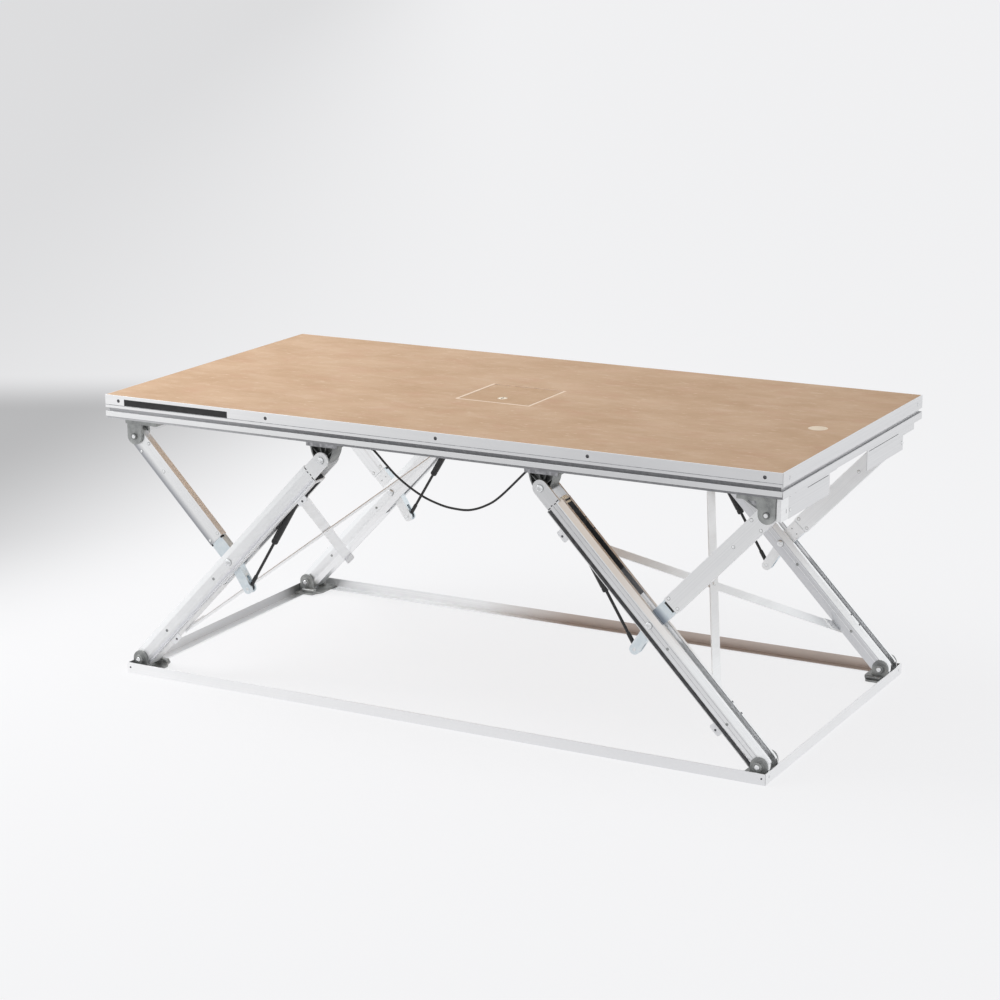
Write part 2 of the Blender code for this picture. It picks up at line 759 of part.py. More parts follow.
def shade_round_pieces():
    for piece in bpy.data.objects:
        if piece.type == "MESH":
            piece.data.shade_smooth()
            piece.data.set_sharp_from_angle(angle=smooth_angle)


def main():
    clear_scene()
    wood = make_material("plywood", (0.565, 0.367, 0.231), 0.55, 0.0)
    metals = {"aluminium": make_material("aluminium", (0.76, 0.77, 0.78), 0.35, 1.0),
              "casting": make_material("casting", (0.17, 0.18, 0.18), 0.6, 0.6),
              "zinc": make_material("zinc", (0.50, 0.56, 0.62), 0.4, 0.8),
              "black": make_material("black", (0.012, 0.012, 0.013), 0.4, 0.0)}
    deck = add_pivot("deck_pivot", (-pivot_x, -leg_plane, deck_pivot_height))
    add_board(wood, deck)
    add_rails(metals["aluminium"], deck)
    add_beams(metals["aluminium"], deck)
    add_tray(metals["zinc"], deck)
    add_hatch(wood, metals["zinc"])
    add_release_pull(metals["casting"])
    add_base_bars(metals["aluminium"])
    add_end("left", 0.0, metals, deck)
    add_end("right", math.pi, metals, deck)
    add_cable(metals["black"], metals["casting"], deck)
    shade_round_pieces()


main()
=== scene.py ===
import bmesh
import bpy
import json
import math
from mathutils import Matrix, Vector


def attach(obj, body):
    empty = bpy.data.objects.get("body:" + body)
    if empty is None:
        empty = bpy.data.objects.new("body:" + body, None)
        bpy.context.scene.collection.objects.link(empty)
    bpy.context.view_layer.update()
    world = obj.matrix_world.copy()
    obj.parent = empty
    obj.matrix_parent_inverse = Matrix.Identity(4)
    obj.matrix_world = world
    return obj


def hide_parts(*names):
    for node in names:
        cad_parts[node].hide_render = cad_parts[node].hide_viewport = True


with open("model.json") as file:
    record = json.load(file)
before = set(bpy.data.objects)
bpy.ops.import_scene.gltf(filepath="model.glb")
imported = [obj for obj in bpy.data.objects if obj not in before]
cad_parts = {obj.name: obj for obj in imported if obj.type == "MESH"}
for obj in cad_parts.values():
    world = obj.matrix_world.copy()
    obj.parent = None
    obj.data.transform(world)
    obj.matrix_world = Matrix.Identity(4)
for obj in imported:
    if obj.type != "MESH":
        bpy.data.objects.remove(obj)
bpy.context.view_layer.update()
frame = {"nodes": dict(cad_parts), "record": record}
scene = bpy.context.scene
nodes = frame["nodes"]
rideOf = {name: body for body, names in frame["record"]["behaviour"]["bodies"].items() for name in names}
print("frame loaded,", len(nodes), "nodes")


# Edit helpers
def pick(piece):
    if bpy.context.mode != "OBJECT":
        bpy.ops.object.mode_set(mode="OBJECT")
    bpy.ops.object.select_all(action="DESELECT")
    piece.select_set(True)
    bpy.context.view_layer.objects.active = piece


def startEdit(piece, kind="FACE"):
    pick(piece)
    bpy.ops.object.mode_set(mode="EDIT")
    bpy.ops.mesh.select_mode(type=kind)
    bpy.ops.mesh.select_all(action="DESELECT")


def endEdit():
    bpy.ops.object.mode_set(mode="OBJECT")


# Faces by their middle and normal, seen in the piece's own frame
def selectFaces(piece, test, place=Matrix.Identity(4)):
    back = place.inverted()
    turn = back.to_3x3()
    mesh = bmesh.from_edit_mesh(piece.data)
    count = 0
    for face in mesh.faces:
        chosen = bool(test(back @ face.calc_center_median(), turn @ face.normal))
        face.select_set(chosen)
        count += chosen
    bmesh.update_edit_mesh(piece.data)
    return count


def applyPlace(piece):
    pick(piece)
    bpy.ops.object.transform_apply(location=True, rotation=True, scale=True)


def applyModifier(piece, kind, **settings):
    pick(piece)
    modifier = piece.modifiers.new("step", kind)
    for name, value in settings.items():
        setattr(modifier, name, value)
    bpy.ops.object.modifier_apply(modifier=modifier.name)


def softenEdges(piece, width, segments=2, angle=28, material=-1):
    applyModifier(piece, "BEVEL", width=width, segments=segments, limit_method="ANGLE",
                  angle_limit=math.radians(angle), use_clamp_overlap=True, material=material)


def shade(piece, angle):
    pick(piece)
    bpy.ops.object.shade_smooth_by_angle(angle=math.radians(angle))
    applyModifier(piece, "WEIGHTED_NORMAL", keep_sharp=True, weight=60)


# A merged copy of a solid, ready to be worked on
def nodeCopy(node):
    piece = bpy.data.objects.new(node + "_made", nodes[node].data.copy())
    scene.collection.objects.link(piece)
    piece.data.materials.clear()
    startEdit(piece)
    bpy.ops.mesh.select_all(action="SELECT")
    bpy.ops.mesh.remove_doubles(threshold=0.00001)
    bpy.ops.mesh.customdata_custom_splitnormals_clear()
    bpy.ops.mesh.dissolve_limited(angle_limit=math.radians(0.6))
    endEdit()
    return piece


# The cut faces take the cutter's finish, if it has one
def cutWith(piece, cutter, finish=None):
    if finish:
        cutter.data.materials.append(finish)
        if finish.name not in piece.data.materials:
            piece.data.materials.append(finish)
    applyModifier(piece, "BOOLEAN", operation="DIFFERENCE", object=cutter, solver="EXACT",
                  material_mode="TRANSFER" if finish else "INDEX")
    bpy.data.objects.remove(cutter, do_unlink=True)


# Gives the selected faces a finish of their own
def paintSelected(piece, finish):
    if finish.name not in piece.data.materials:
        piece.data.materials.append(finish)
    piece.active_material_index = piece.data.materials.find(finish.name)
    bpy.ops.object.material_slot_assign()


def paintFaces(piece, finish, test, place=Matrix.Identity(4)):
    startEdit(piece)
    selectFaces(piece, test, place)
    paintSelected(piece, finish)
    endEdit()


# Splits faces across the piece's length
def splitFaces(piece, test, place, at):
    startEdit(piece)
    selectFaces(piece, test, place)
    bpy.ops.mesh.bisect(plane_co=place @ Vector((at, 0, 0)), plane_no=place.to_3x3() @ Vector((1, 0, 0)))
    endEdit()


def joinPieces(pieces, name):
    pick(pieces[0])
    for piece in pieces[1:]:
        piece.select_set(True)
    if len(pieces) > 1:
        bpy.ops.object.join()
    pieces[0].name = name
    return pieces[0]


# Round piece drawn up from its foot: each station is a height and a radius
def turned(name, stations, sides, place=Matrix.Identity(4)):
    bpy.ops.object.select_all(action="DESELECT")
    height, radius = stations[0]
    bpy.ops.mesh.primitive_circle_add(vertices=sides, radius=radius, fill_type="NGON", location=(0, 0, height))
    piece = bpy.context.object
    piece.name = name
    applyPlace(piece)
    startEdit(piece)
    bpy.ops.mesh.select_all(action="SELECT")
    for nextHeight, nextRadius in stations[1:]:
        bpy.ops.mesh.extrude_region_move(TRANSFORM_OT_translate={"value": (0, 0, nextHeight - height)})
        ratio = nextRadius / radius
        bpy.ops.transform.resize(value=(ratio, ratio, 1), center_override=(0, 0, nextHeight))
        height, radius = nextHeight, nextRadius
    bpy.ops.mesh.select_all(action="SELECT")
    bpy.ops.mesh.normals_make_consistent(inside=False)
    endEdit()
    piece.matrix_world = place
    applyPlace(piece)
    return piece


def boxAt(name, size, center, place=Matrix.Identity(4)):
    bpy.ops.object.select_all(action="DESELECT")
    bpy.ops.mesh.primitive_cube_add(size=1, location=center, scale=size)
    piece = bpy.context.object
    piece.name = name
    applyPlace(piece)
    piece.matrix_world = place
    applyPlace(piece)
    return piece


def copiesAt(source, places):
    made = []
    for place in places:
        pick(source)
        bpy.ops.object.duplicate()
        twin = bpy.context.object
        twin.matrix_world = place
        applyPlace(twin)
        made.append(twin)
    bpy.data.objects.remove(source, do_unlink=True)
    return made


# A ring about a frame's z, with its edges broken
def ringAt(name, outer, inner, halfWidth, place, sides=32, edge=0.0007):
    bpy.ops.object.select_all(action="DESELECT")
    bpy.ops.mesh.primitive_cylinder_add(vertices=sides, radius=outer, depth=2 * halfWidth)
    ring = bpy.context.object
    ring.name = name
    startEdit(ring)
    selectFaces(ring, lambda middle, normal: abs(normal.z) > 0.9)
    bpy.ops.mesh.inset(thickness=outer - inner)
    bpy.ops.mesh.bridge_edge_loops()
    endEdit()
    softenEdges(ring, edge)
    ring.matrix_world = place
    applyPlace(ring)
    return ring


# A frame at a point, its z along the given direction
def facing(point, direction):
    return Matrix.Translation(Vector(point)) @ Vector(direction).to_track_quat("Z", "Y").to_matrix().to_4x4()


# Moves the points that pass a test
def movePoints(piece, test, move):
    bpy.ops.mesh.select_all(action="DESELECT")
    mesh = bmesh.from_edit_mesh(piece.data)
    for point in mesh.verts:
        point.select_set(bool(test(point.co)))
    mesh.select_flush(True)
    bmesh.update_edit_mesh(piece.data)
    bpy.ops.transform.translate(value=move)


# Shades a finished piece, hangs it on its body and hides the nodes that it stands for
def dress(piece, body, finish=None, stands=(), angle=34):
    shade(piece, angle)
    if finish and not piece.data.materials:
        piece.data.materials.append(finish)
    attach(piece, body)
    if stands:
        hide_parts(*stands)


# Camera at the photograph's angle
view = {"azimuth": 28.42194, "elevation": 14.523357, "roll": -0.342098, "distance": 7.000619,
        "look": (-0.038506, 0.0, 0.491940), "lens": 90.97, "shiftY": 0.002}


def addCamera():
    turn, rise, roll = (math.radians(view[key]) for key in ("azimuth", "elevation", "roll"))
    back = Vector((math.sin(turn) * math.cos(rise), -math.cos(turn) * math.cos(rise), math.sin(rise)))
    right = (-back).cross(Vector((0, 0, 1))).normalized()
    up = right.cross(-back)
    right, up = right * math.cos(roll) + up * math.sin(roll), up * math.cos(roll) - right * math.sin(roll)
    bpy.ops.object.camera_add(location=Vector(view["look"]) + back * view["distance"])
    camera = bpy.context.object
    camera.rotation_euler = Matrix((right, up, back)).transposed().to_euler()
    camera.data.lens = view["lens"]
    camera.data.sensor_width = 36
    camera.data.shift_y = view["shiftY"]
    scene.camera = camera


addCamera()
print("camera set")


# Materials
def newFinish(name, roughness, metallic):
    finish = bpy.data.materials.new(name)
    finish.use_nodes = True
    shader = finish.node_tree.nodes["Principled BSDF"]
    shader.inputs["Roughness"].default_value = roughness
    shader.inputs["Metallic"].default_value = metallic
    return finish, finish.node_tree, shader


def addNode(tree, kind, settings=None, **values):
    node = tree.nodes.new(kind)
    for name, value in values.items():
        setattr(node, name, value)
    for name, value in (settings or {}).items():
        node.inputs[name].default_value = value
    return node


# Noise laid out at a given size in metres, turned with the piece
def grainNoise(tree, size, turn=(0, 0, 0), detail=3.0, rough=0.55, offset=(0, 0, 0)):
    place = addNode(tree, "ShaderNodeTexCoord")
    layout = addNode(tree, "ShaderNodeMapping", {"Location": offset, "Rotation": turn, "Scale": size},
                     vector_type="TEXTURE")
    noise = addNode(tree, "ShaderNodeTexNoise", {"Scale": 1.0, "Detail": detail, "Roughness": rough})
    tree.links.new(place.outputs["Object"], layout.inputs["Vector"])
    tree.links.new(layout.outputs["Vector"], noise.inputs["Vector"])
    return noise.outputs["Fac"]


def remap(tree, value, low, high, outLow=0.0, outHigh=1.0, kind="LINEAR"):
    spread = addNode(tree, "ShaderNodeMapRange", {"From Min": low, "From Max": high, "To Min": outLow,
                                                  "To Max": outHigh}, interpolation_type=kind)
    tree.links.new(value, spread.inputs["Value"])
    return spread.outputs["Result"]


def mathNode(tree, operation, *values):
    node = addNode(tree, "ShaderNodeMath", operation=operation)
    for socket, value in zip(node.inputs, values):
        if isinstance(value, float):
            socket.default_value = value
        else:
            tree.links.new(value, socket)
    return node.outputs["Value"]


# The place on the piece, measured along a direction or away from a point
def measured(tree, operation, against):
    place = addNode(tree, "ShaderNodeTexCoord")
    measure = addNode(tree, "ShaderNodeVectorMath", operation=operation)
    measure.inputs[1].default_value = against
    tree.links.new(place.outputs["Object"], measure.inputs[0])
    return measure.outputs["Value"]


def blendColor(tree, share, first, second, mode="MIX"):
    mix = addNode(tree, "ShaderNodeMix", data_type="RGBA", blend_type=mode)
    for socket, value in ((mix.inputs[6], first), (mix.inputs[7], second)):
        if isinstance(value, tuple):
            socket.default_value = (*value, 1.0)
        else:
            tree.links.new(value, socket)
    if isinstance(share, float):
        mix.inputs[0].default_value = share
    else:
        tree.links.new(share, mix.inputs[0])
    return mix.outputs[2]


def addBump(tree, shader, height, strength, distance):
    bump = addNode(tree, "ShaderNodeBump", {"Strength": strength, "Distance": distance})
    tree.links.new(height, bump.inputs["Height"])
    tree.links.new(bump.outputs["Normal"], shader.inputs["Normal"])


# Satin extrusion: die lines along the piece, a soft bloom and a few dull rubs
def extrudedAluminium(name, turn, light=(0.94, 0.943, 0.948), dull=(0.82, 0.828, 0.838), soft=0.0, metal=1.0):
    finish, tree, shader = newFinish(name, 0.34, metal)
    lines = grainNoise(tree, (1.6, 0.0022, 0.0022), turn, 2.0)
    bloom = grainNoise(tree, (0.22, 0.06, 0.06), turn, 4.0)
    rubs = grainNoise(tree, (0.05, 0.012, 0.012), turn, 5.0, 0.7)
    color = blendColor(tree, remap(tree, lines, 0.3, 0.7, 0.0, 0.55), light, dull)
    color = blendColor(tree, remap(tree, bloom, 0.42, 0.75, 0.0, 0.35), color, (0.86, 0.865, 0.87))
    tree.links.new(color, shader.inputs["Base Color"])
    worn = mathNode(tree, "ADD", remap(tree, bloom, 0.3, 0.7, 0.28 + soft, 0.40 + soft),
                    remap(tree, rubs, 0.55, 0.8, 0.0, 0.12))
    tree.links.new(worn, shader.inputs["Roughness"])
    addBump(tree, shader, lines, 0.10, 0.0003)
    return finish


# A finish that changes to a tint along a direction
def tinted(finish, direction, low, high, most, tint):
    tree = finish.node_tree
    shader = tree.nodes["Principled BSDF"]
    plain = shader.inputs["Base Color"].links[0].from_socket
    share = remap(tree, measured(tree, "DOT_PRODUCT", direction), low, high, 0.0, most)
    tree.links.new(blendColor(tree, share, plain, tint), shader.inputs["Base Color"])
    return finish


# Sand-cast metal: grey mottling, pits and rubbed high spots
def castMetal(name, tone):
    finish, tree, shader = newFinish(name, 0.55, 0.75)
    dark, light, grit = [tuple(tone * part for part in color) for color in
                         ((0.21, 0.215, 0.215), (0.44, 0.45, 0.44), (0.62, 0.63, 0.62))]
    patches = grainNoise(tree, (0.03, 0.03, 0.03), detail=4.0)
    sand = grainNoise(tree, (0.0016, 0.0016, 0.0016), detail=3.0, rough=0.65)
    color = blendColor(tree, remap(tree, patches, 0.35, 0.7, 0.0, 1.0), dark, light)
    color = blendColor(tree, remap(tree, sand, 0.5, 0.8, 0.0, 0.55), color, grit)
    tree.links.new(color, shader.inputs["Base Color"])
    tree.links.new(remap(tree, patches, 0.3, 0.7, 0.42, 0.62), shader.inputs["Roughness"])
    addBump(tree, shader, sand, 0.35, 0.0006)
    return finish


# Blue-white zinc plate with its crystal bloom
def zincPlate(name):
    finish, tree, shader = newFinish(name, 0.36, 0.9)
    bloom = grainNoise(tree, (0.02, 0.02, 0.02), detail=4.0)
    fine = grainNoise(tree, (0.002, 0.002, 0.002), detail=2.0)
    color = blendColor(tree, remap(tree, bloom, 0.35, 0.7, 0.0, 1.0), (0.71, 0.785, 0.83), (0.84, 0.89, 0.915))
    tree.links.new(color, shader.inputs["Base Color"])
    tree.links.new(remap(tree, bloom, 0.3, 0.7, 0.30, 0.44), shader.inputs["Roughness"])
    addBump(tree, shader, fine, 0.08, 0.0003)
    return finish


def turnedSteel(name, light, dull):
    finish, tree, shader = newFinish(name, 0.25, 1.0)
    bloom = grainNoise(tree, (0.006, 0.006, 0.006), detail=3.0)
    color = blendColor(tree, remap(tree, bloom, 0.35, 0.7, 0.0, 1.0), light, dull)
    tree.links.new(color, shader.inputs["Base Color"])
    tree.links.new(remap(tree, bloom, 0.3, 0.7, 0.20, 0.36), shader.inputs["Roughness"])
    return finish


def blackPaint(name, roughness, tone, spread=2.2):
    finish, tree, shader = newFinish(name, roughness, 0.0)
    bloom = grainNoise(tree, (0.012, 0.012, 0.012), detail=4.0)
    fine = grainNoise(tree, (0.0012, 0.0012, 0.0012), detail=2.0)
    color = blendColor(tree, remap(tree, bloom, 0.4, 0.75, 0.0, 1.0), (tone, tone, tone * 1.05),
                       (tone * spread, tone * spread, tone * spread * 1.03))
    tree.links.new(color, shader.inputs["Base Color"])
    tree.links.new(remap(tree, bloom, 0.3, 0.7, roughness - 0.06, roughness + 0.10), shader.inputs["Roughness"])
    addBump(tree, shader, fine, 0.10, 0.0003)
    return finish


# Sealed plywood face: soft mottling, faint grain, short pale flecks, reddish patches and a few dark specks
def deckWood(name, tone):
    finish, tree, shader = newFinish(name, 0.5, 0.0)
    shader.inputs["Specular IOR Level"].default_value = 0.08
    mottle = grainNoise(tree, (0.20, 0.13, 0.13), detail=4.0)
    clouds = grainNoise(tree, (0.075, 0.045, 0.05), detail=4.0, rough=0.6, offset=(0.7, 0.2, 0))
    red = grainNoise(tree, (0.12, 0.075, 0.08), detail=3.0, offset=(1.3, 0.6, 0))
    grain = grainNoise(tree, (0.26, 0.007, 0.02), detail=4.0, rough=0.6)
    pores = grainNoise(tree, (0.020, 0.0013, 0.004), detail=2.0)
    flecks = grainNoise(tree, (0.038, 0.011, 0.01), detail=3.0, rough=0.65, offset=(0.3, 0.1, 0))
    specks = grainNoise(tree, (0.012, 0.009, 0.01), detail=2.0, offset=(2.1, 0.4, 0))
    color = blendColor(tree, remap(tree, mottle, 0.34, 0.68, 0.0, 1.0), (0.675, 0.468, 0.312), (0.588, 0.393, 0.253))
    color = blendColor(tree, remap(tree, red, 0.50, 0.72, 0.0, 0.55), color, (0.622, 0.380, 0.258))
    color = blendColor(tree, remap(tree, clouds, 0.50, 0.75, 0.0, 0.55), color, (0.73, 0.540, 0.390))
    color = blendColor(tree, remap(tree, grain, 0.42, 0.72, 0.0, 0.20), color, (0.470, 0.292, 0.176))
    color = blendColor(tree, remap(tree, pores, 0.55, 0.75, 0.0, 0.20), color, (0.38, 0.226, 0.132))
    color = blendColor(tree, remap(tree, flecks, 0.60, 0.72, 0.0, 0.70), color, (0.80, 0.625, 0.465))
    color = blendColor(tree, remap(tree, specks, 0.72, 0.80, 0.0, 0.50), color, (0.36, 0.21, 0.125))
    color = blendColor(tree, 1.0, color, tone, "MULTIPLY")
    tree.links.new(color, shader.inputs["Base Color"])
    tree.links.new(remap(tree, mottle, 0.3, 0.7, 0.50, 0.64), shader.inputs["Roughness"])
    addBump(tree, shader, pores, 0.12, 0.0003)
    return finish


# Pale wood with grain: sanded wood where the face veneer is worn off at the hatch, painted light on the board's
# underside and on the hatch hole's back wall, and the round plug
def bareWood(name, light, dull):
    finish, tree, shader = newFinish(name, 0.6, 0.0)
    grain = grainNoise(tree, (0.05, 0.05, 0.0015), detail=3.0)
    color = blendColor(tree, remap(tree, grain, 0.35, 0.7, 0.0, 1.0), light, dull)
    tree.links.new(color, shader.inputs["Base Color"])
    addBump(tree, shader, grain, 0.15, 0.0004)
    return finish


lean = {"theta": math.radians(46.248647)}
lean["acrossLeft"] = (math.sin(lean["theta"]), 0, math.cos(lean["theta"]))  # up across a left strut
lean["alongRight"] = (-math.cos(lean["theta"]), 0, -math.sin(lean["theta"]))  # down along a right strut
lean["long"], lean["cross"] = (0, 0, 0), (0, 0, math.pi / 2)  # die lines along x and along y
lean["rising"], lean["falling"] = (0, -lean["theta"], 0), (0, lean["theta"], 0)
finishes = {
    "alongX": extrudedAluminium("aluminium_long", lean["long"]),
    "alongY": extrudedAluminium("aluminium_cross", lean["cross"]),
    "rising": extrudedAluminium("aluminium_rising", lean["rising"]),
    "falling": extrudedAluminium("aluminium_falling", lean["falling"]),
    # painted shade: a darker copy of the aluminium for the end rails, the end plates and the back end strip
    "endRailShade": extrudedAluminium("aluminium_end_painted_shade", lean["cross"], (0.80, 0.803, 0.81), (0.68, 0.687, 0.697)),
    # painted light: a paler, more diffuse copy of the aluminium for the front left leg
    "legPaintedLight": extrudedAluminium("aluminium_painted_light", lean["rising"], (0.95, 0.953, 0.958), (0.90, 0.904, 0.91),
                                  soft=0.1, metal=0.12),
    # painted shade: the front rail and the front base bar grow darker towards the right
    "front": tinted(extrudedAluminium("aluminium_front_painted_shade", lean["long"], (0.985, 0.985, 0.985), (0.91, 0.915, 0.92)),
                    (1, 0, 0), -0.9, 0.6, 0.85, (0.78, 0.783, 0.795)),
    # painted shade: a darker copy for the flat sides of the right legs
    "legFaceShade": extrudedAluminium("aluminium_leg", lean["falling"], (0.82, 0.823, 0.83), (0.70, 0.706, 0.716)),
    "legShade": extrudedAluminium("aluminium_leg_shade", lean["falling"], (0.66, 0.666, 0.685), (0.56, 0.567, 0.586)),
    # painted reflection of the wood: the right front leg's upper edges turn warm towards the top
    "woodReflectionLeg": tinted(extrudedAluminium("aluminium_painted_wood_reflection", lean["falling"], soft=0.12),
                      (0, 0, 1), 0.26, 0.50, 0.85, (0.70, 0.61, 0.53)),
    # painted shade: the inner faces of the back bar turn a darker warm grey towards the right, and those of the left
    # bar a darker grey towards the back
    "baseBackShade": tinted(extrudedAluminium("aluminium_back_painted_shade", lean["long"], soft=0.12),
                       (1, 0, 0), -0.36, -0.06, 1.0, (0.53, 0.455, 0.41)),
    "baseLeftShade": tinted(extrudedAluminium("aluminium_left_painted_shade", lean["cross"], soft=0.12),
                       (0, 1, 0), -1.0, 0.46, 1.0, (0.50, 0.50, 0.51)),
    "strutShade": tinted(extrudedAluminium("aluminium_shaded", lean["falling"]),
                         lean["acrossLeft"], -0.214, -0.231, 0.80, (0.27, 0.28, 0.31)),
    "zincShade": tinted(zincPlate("zinc_shaded"),
                        lean["alongRight"], -0.7468, -0.7308, 0.85, (0.16, 0.20, 0.26)),
    "pale": extrudedAluminium("aluminium_pale", lean["cross"], (0.95, 0.955, 0.96), (0.87, 0.875, 0.88), soft=0.14),
    "matt": extrudedAluminium("aluminium_matt", (0, math.pi / 2, 0), (0.93, 0.932, 0.95), (0.88, 0.885, 0.90),
                              soft=0.2, metal=0.1),
    "cast": castMetal("sand_cast", 1.25),
    "castMid": castMetal("sand_cast_mid", 1.0),
    "castDark": castMetal("sand_cast_dark", 0.75),
    "zinc": zincPlate("zinc_plate"),
    "steel": turnedSteel("bright_steel", (0.86, 0.87, 0.88), (0.70, 0.71, 0.72)),
    "darkSteel": turnedSteel("dark_steel", (0.16, 0.16, 0.17), (0.08, 0.08, 0.085)),
    "brass": turnedSteel("pale_brass", (0.96, 0.86, 0.70), (0.86, 0.74, 0.56)),
    "spring": blackPaint("spring_black", 0.30, 0.010),
    "sheath": blackPaint("cable_black", 0.45, 0.012),
    "shadow": blackPaint("recess_black", 0.60, 0.010),
    "strip": blackPaint("strip_black", 0.38, 0.012),
    # painted shade: dark grey for the inside of slots, gaps, slits, pockets and notches
    "recessShade": blackPaint("recess_painted_shade", 0.55, 0.060),
    # a mid grey: painted shade in the score lines and in the end rails' grooves, painted light on the front edges of
    # the sliders' plates, and the gusset panels
    "greyShadeAndLight": blackPaint("grey_painted_shade_and_light", 0.50, 0.30),
    # painted shade in the long rails' grooves, their set-back foot and part of the legs' slots, paler towards the left
    # end as painted light
    "grooveShade": tinted(blackPaint("groove_painted_shade_and_light", 0.50, 0.27, 1.35), (1, 0, 0), -0.25, -0.85, 0.85, (0.70, 0.70, 0.71)),
    "wood": deckWood("sealed_plywood", (0.975, 0.968, 0.955)),
    "lid": deckWood("sealed_lid", (0.925, 0.905, 0.865)),
    "undersideLight": bareWood("painted_light_wood", (0.80, 0.63, 0.48), (0.66, 0.48, 0.34)),
    "rimWearAndLight": bareWood("sanded_edge_and_painted_light", (0.90, 0.72, 0.56), (0.83, 0.64, 0.48)),
    "plug": bareWood("pale_plug", (0.87, 0.73, 0.56), (0.78, 0.63, 0.47))}
print("finishes made")


# Release cable, on the same route as its solid
cable = {"plane": -0.391, "radius": 0.003, "length": 0.5916,
         "route": [(-0.2240, 0.7185), (-0.199, 0.698), (-0.135, 0.640), (-0.066, 0.599), (-0.006, 0.579),
                   (0.040, 0.573), (0.084, 0.575), (0.130, 0.592), (0.173, 0.621), (0.246, 0.693),
                   (0.2705, 0.7175)],
         "rings": [(-0.010, 0.0064), (0.002, 0.0064), (0.0032, 0.0056), (0.0046, 0.0056), (0.0058, 0.0062),
                   (0.0076, 0.0060), (0.0088, 0.0051), (0.0100, 0.0051), (0.0112, 0.0056), (0.0130, 0.0053),
                   (0.0142, 0.0045), (0.0154, 0.0045), (0.0166, 0.0049), (0.0200, 0.0042), (0.0206, 0.0033)]}


def addCable():
    points = [Vector((x, cable["plane"], z)) for x, z in cable["route"]]
    curve = bpy.data.curves.new("release_cable_sheath", "CURVE")
    curve.dimensions = "3D"
    curve.bevel_depth = cable["radius"]
    curve.bevel_resolution = 5
    curve.resolution_u = 8
    curve.use_fill_caps = True
    spline = curve.splines.new("BEZIER")
    spline.bezier_points.add(len(points) - 1)
    around = [2 * points[0] - points[1]] + points + [2 * points[-1] - points[-2]]
    for knot, before, here, after in zip(spline.bezier_points, around, around[1:], around[2:]):
        knot.handle_left_type = knot.handle_right_type = "FREE"
        knot.co = here
        knot.handle_left = here - (after - before) / 6
        knot.handle_right = here + (after - before) / 6
    piece = bpy.data.objects.new("release_cable_sheath", curve)
    scene.collection.objects.link(piece)
    piece.data.materials.append(finishes["sheath"])
    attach(piece, "deck")
    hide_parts("release_cable")
    return piece, points


# Ends of the cable: a tapered, ringed sleeve on each gland
def addSleeves(points):
    sleeves = []
    for name, tip, inner in (("left", points[0], points[1]), ("right", points[-1], points[-2])):
        sleeve = turned("cable_sleeve_" + name, cable["rings"], 28, facing(tip, (inner - tip).normalized()))
        dress(sleeve, "deck", finishes["sheath"], angle=50)
        sleeves.append(sleeve)
    return sleeves


cableSheath, cablePoints = addCable()
cableSleeves = addSleeves(cablePoints)
print("cable hung")


# Every solid gets its edges broken and its finish
edges = {"rail": 0.0008, "base_bar": 0.0007, "cross_beam": 0.0006, "leg": 0.0006, "strut": 0.0009,
         "strut_bracket": 0.0006, "slider": 0.0009, "deck_casting": 0.0012, "base_casting": 0.0012,
         "end_plate": 0.0005, "brace": 0.0005, "deck_board": 0.0004, "hatch_lid": 0.0006, "hatch_lock": 0.0005,
         "hatch_tray": 0.0005, "release_pull": 0.0008, "cable_gland": 0.0006}
slots = {"rail": "aluminium", "base_bar": "aluminium", "cross_beam": "aluminium", "leg": "aluminium",
         "strut": "aluminium", "strut_bracket": "zinc", "slider": "casting", "deck_casting": "casting",
         "base_casting": "casting", "end_plate": "aluminium", "brace": "aluminium", "deck_board": "plywood",
         "hatch_lid": "plywood", "hatch_lock": "zinc", "hatch_tray": "zinc", "release_pull": "casting",
         "cable_gland": "casting"}


def familyOf(node):
    return max((family for family in edges if node.startswith(family)), key=len)


def finishOf(node, family):
    if family in ("rail", "base_bar"):
        return ("front" if node.endswith("front") else "alongX" if node.endswith("back")
                else "endRailShade" if family == "rail" else "alongY")
    if family in ("cross_beam", "end_plate"):
        return "alongY" if family == "cross_beam" else "endRailShade"
    if family == "leg":
        # the front left leg takes the painted light copy
        return "legPaintedLight" if node == "leg_left_front" else "rising" if "left" in node else "falling"
    if family == "strut":
        return "falling" if "left" in node else "rising"
    return {"brace": "pale", "strut_bracket": "zinc", "deck_board": "wood", "hatch_lid": "lid", "hatch_lock": "brass",
            "hatch_tray": "zinc", "slider": "castDark", "base_casting": "castMid"}.get(family, "cast")


made = {}
for node in sorted(nodes):
    if node == "release_cable" or node.startswith("spring_"):
        continue
    family = familyOf(node)
    piece = nodeCopy(node)
    if slots[family] in ("casting", "zinc"):  # some of their flat faces run round a hole
        startEdit(piece)
        bpy.ops.mesh.select_all(action="SELECT")
        bpy.ops.mesh.quads_convert_to_tris(quad_method="BEAUTY", ngon_method="BEAUTY")
        endEdit()
    softenEdges(piece, edges[family])
    piece.data.materials.append(finishes[finishOf(node, family)])
    made[node] = piece
print("solids copied and edges broken:", len(made))

# Places of the linkage: each corner's leg, strut and spring have a frame of their own
linkage = {"pivotX": 0.940, "plane": 0.434, "baseHeight": 0.038, "halfLeg": 0.443, "deckHeight": 0.678,
           "leverTip": (0.087, -0.017), "springUp": 0.365}
corners = [(end, side) for end in ("left", "right") for side in ("front", "back")]


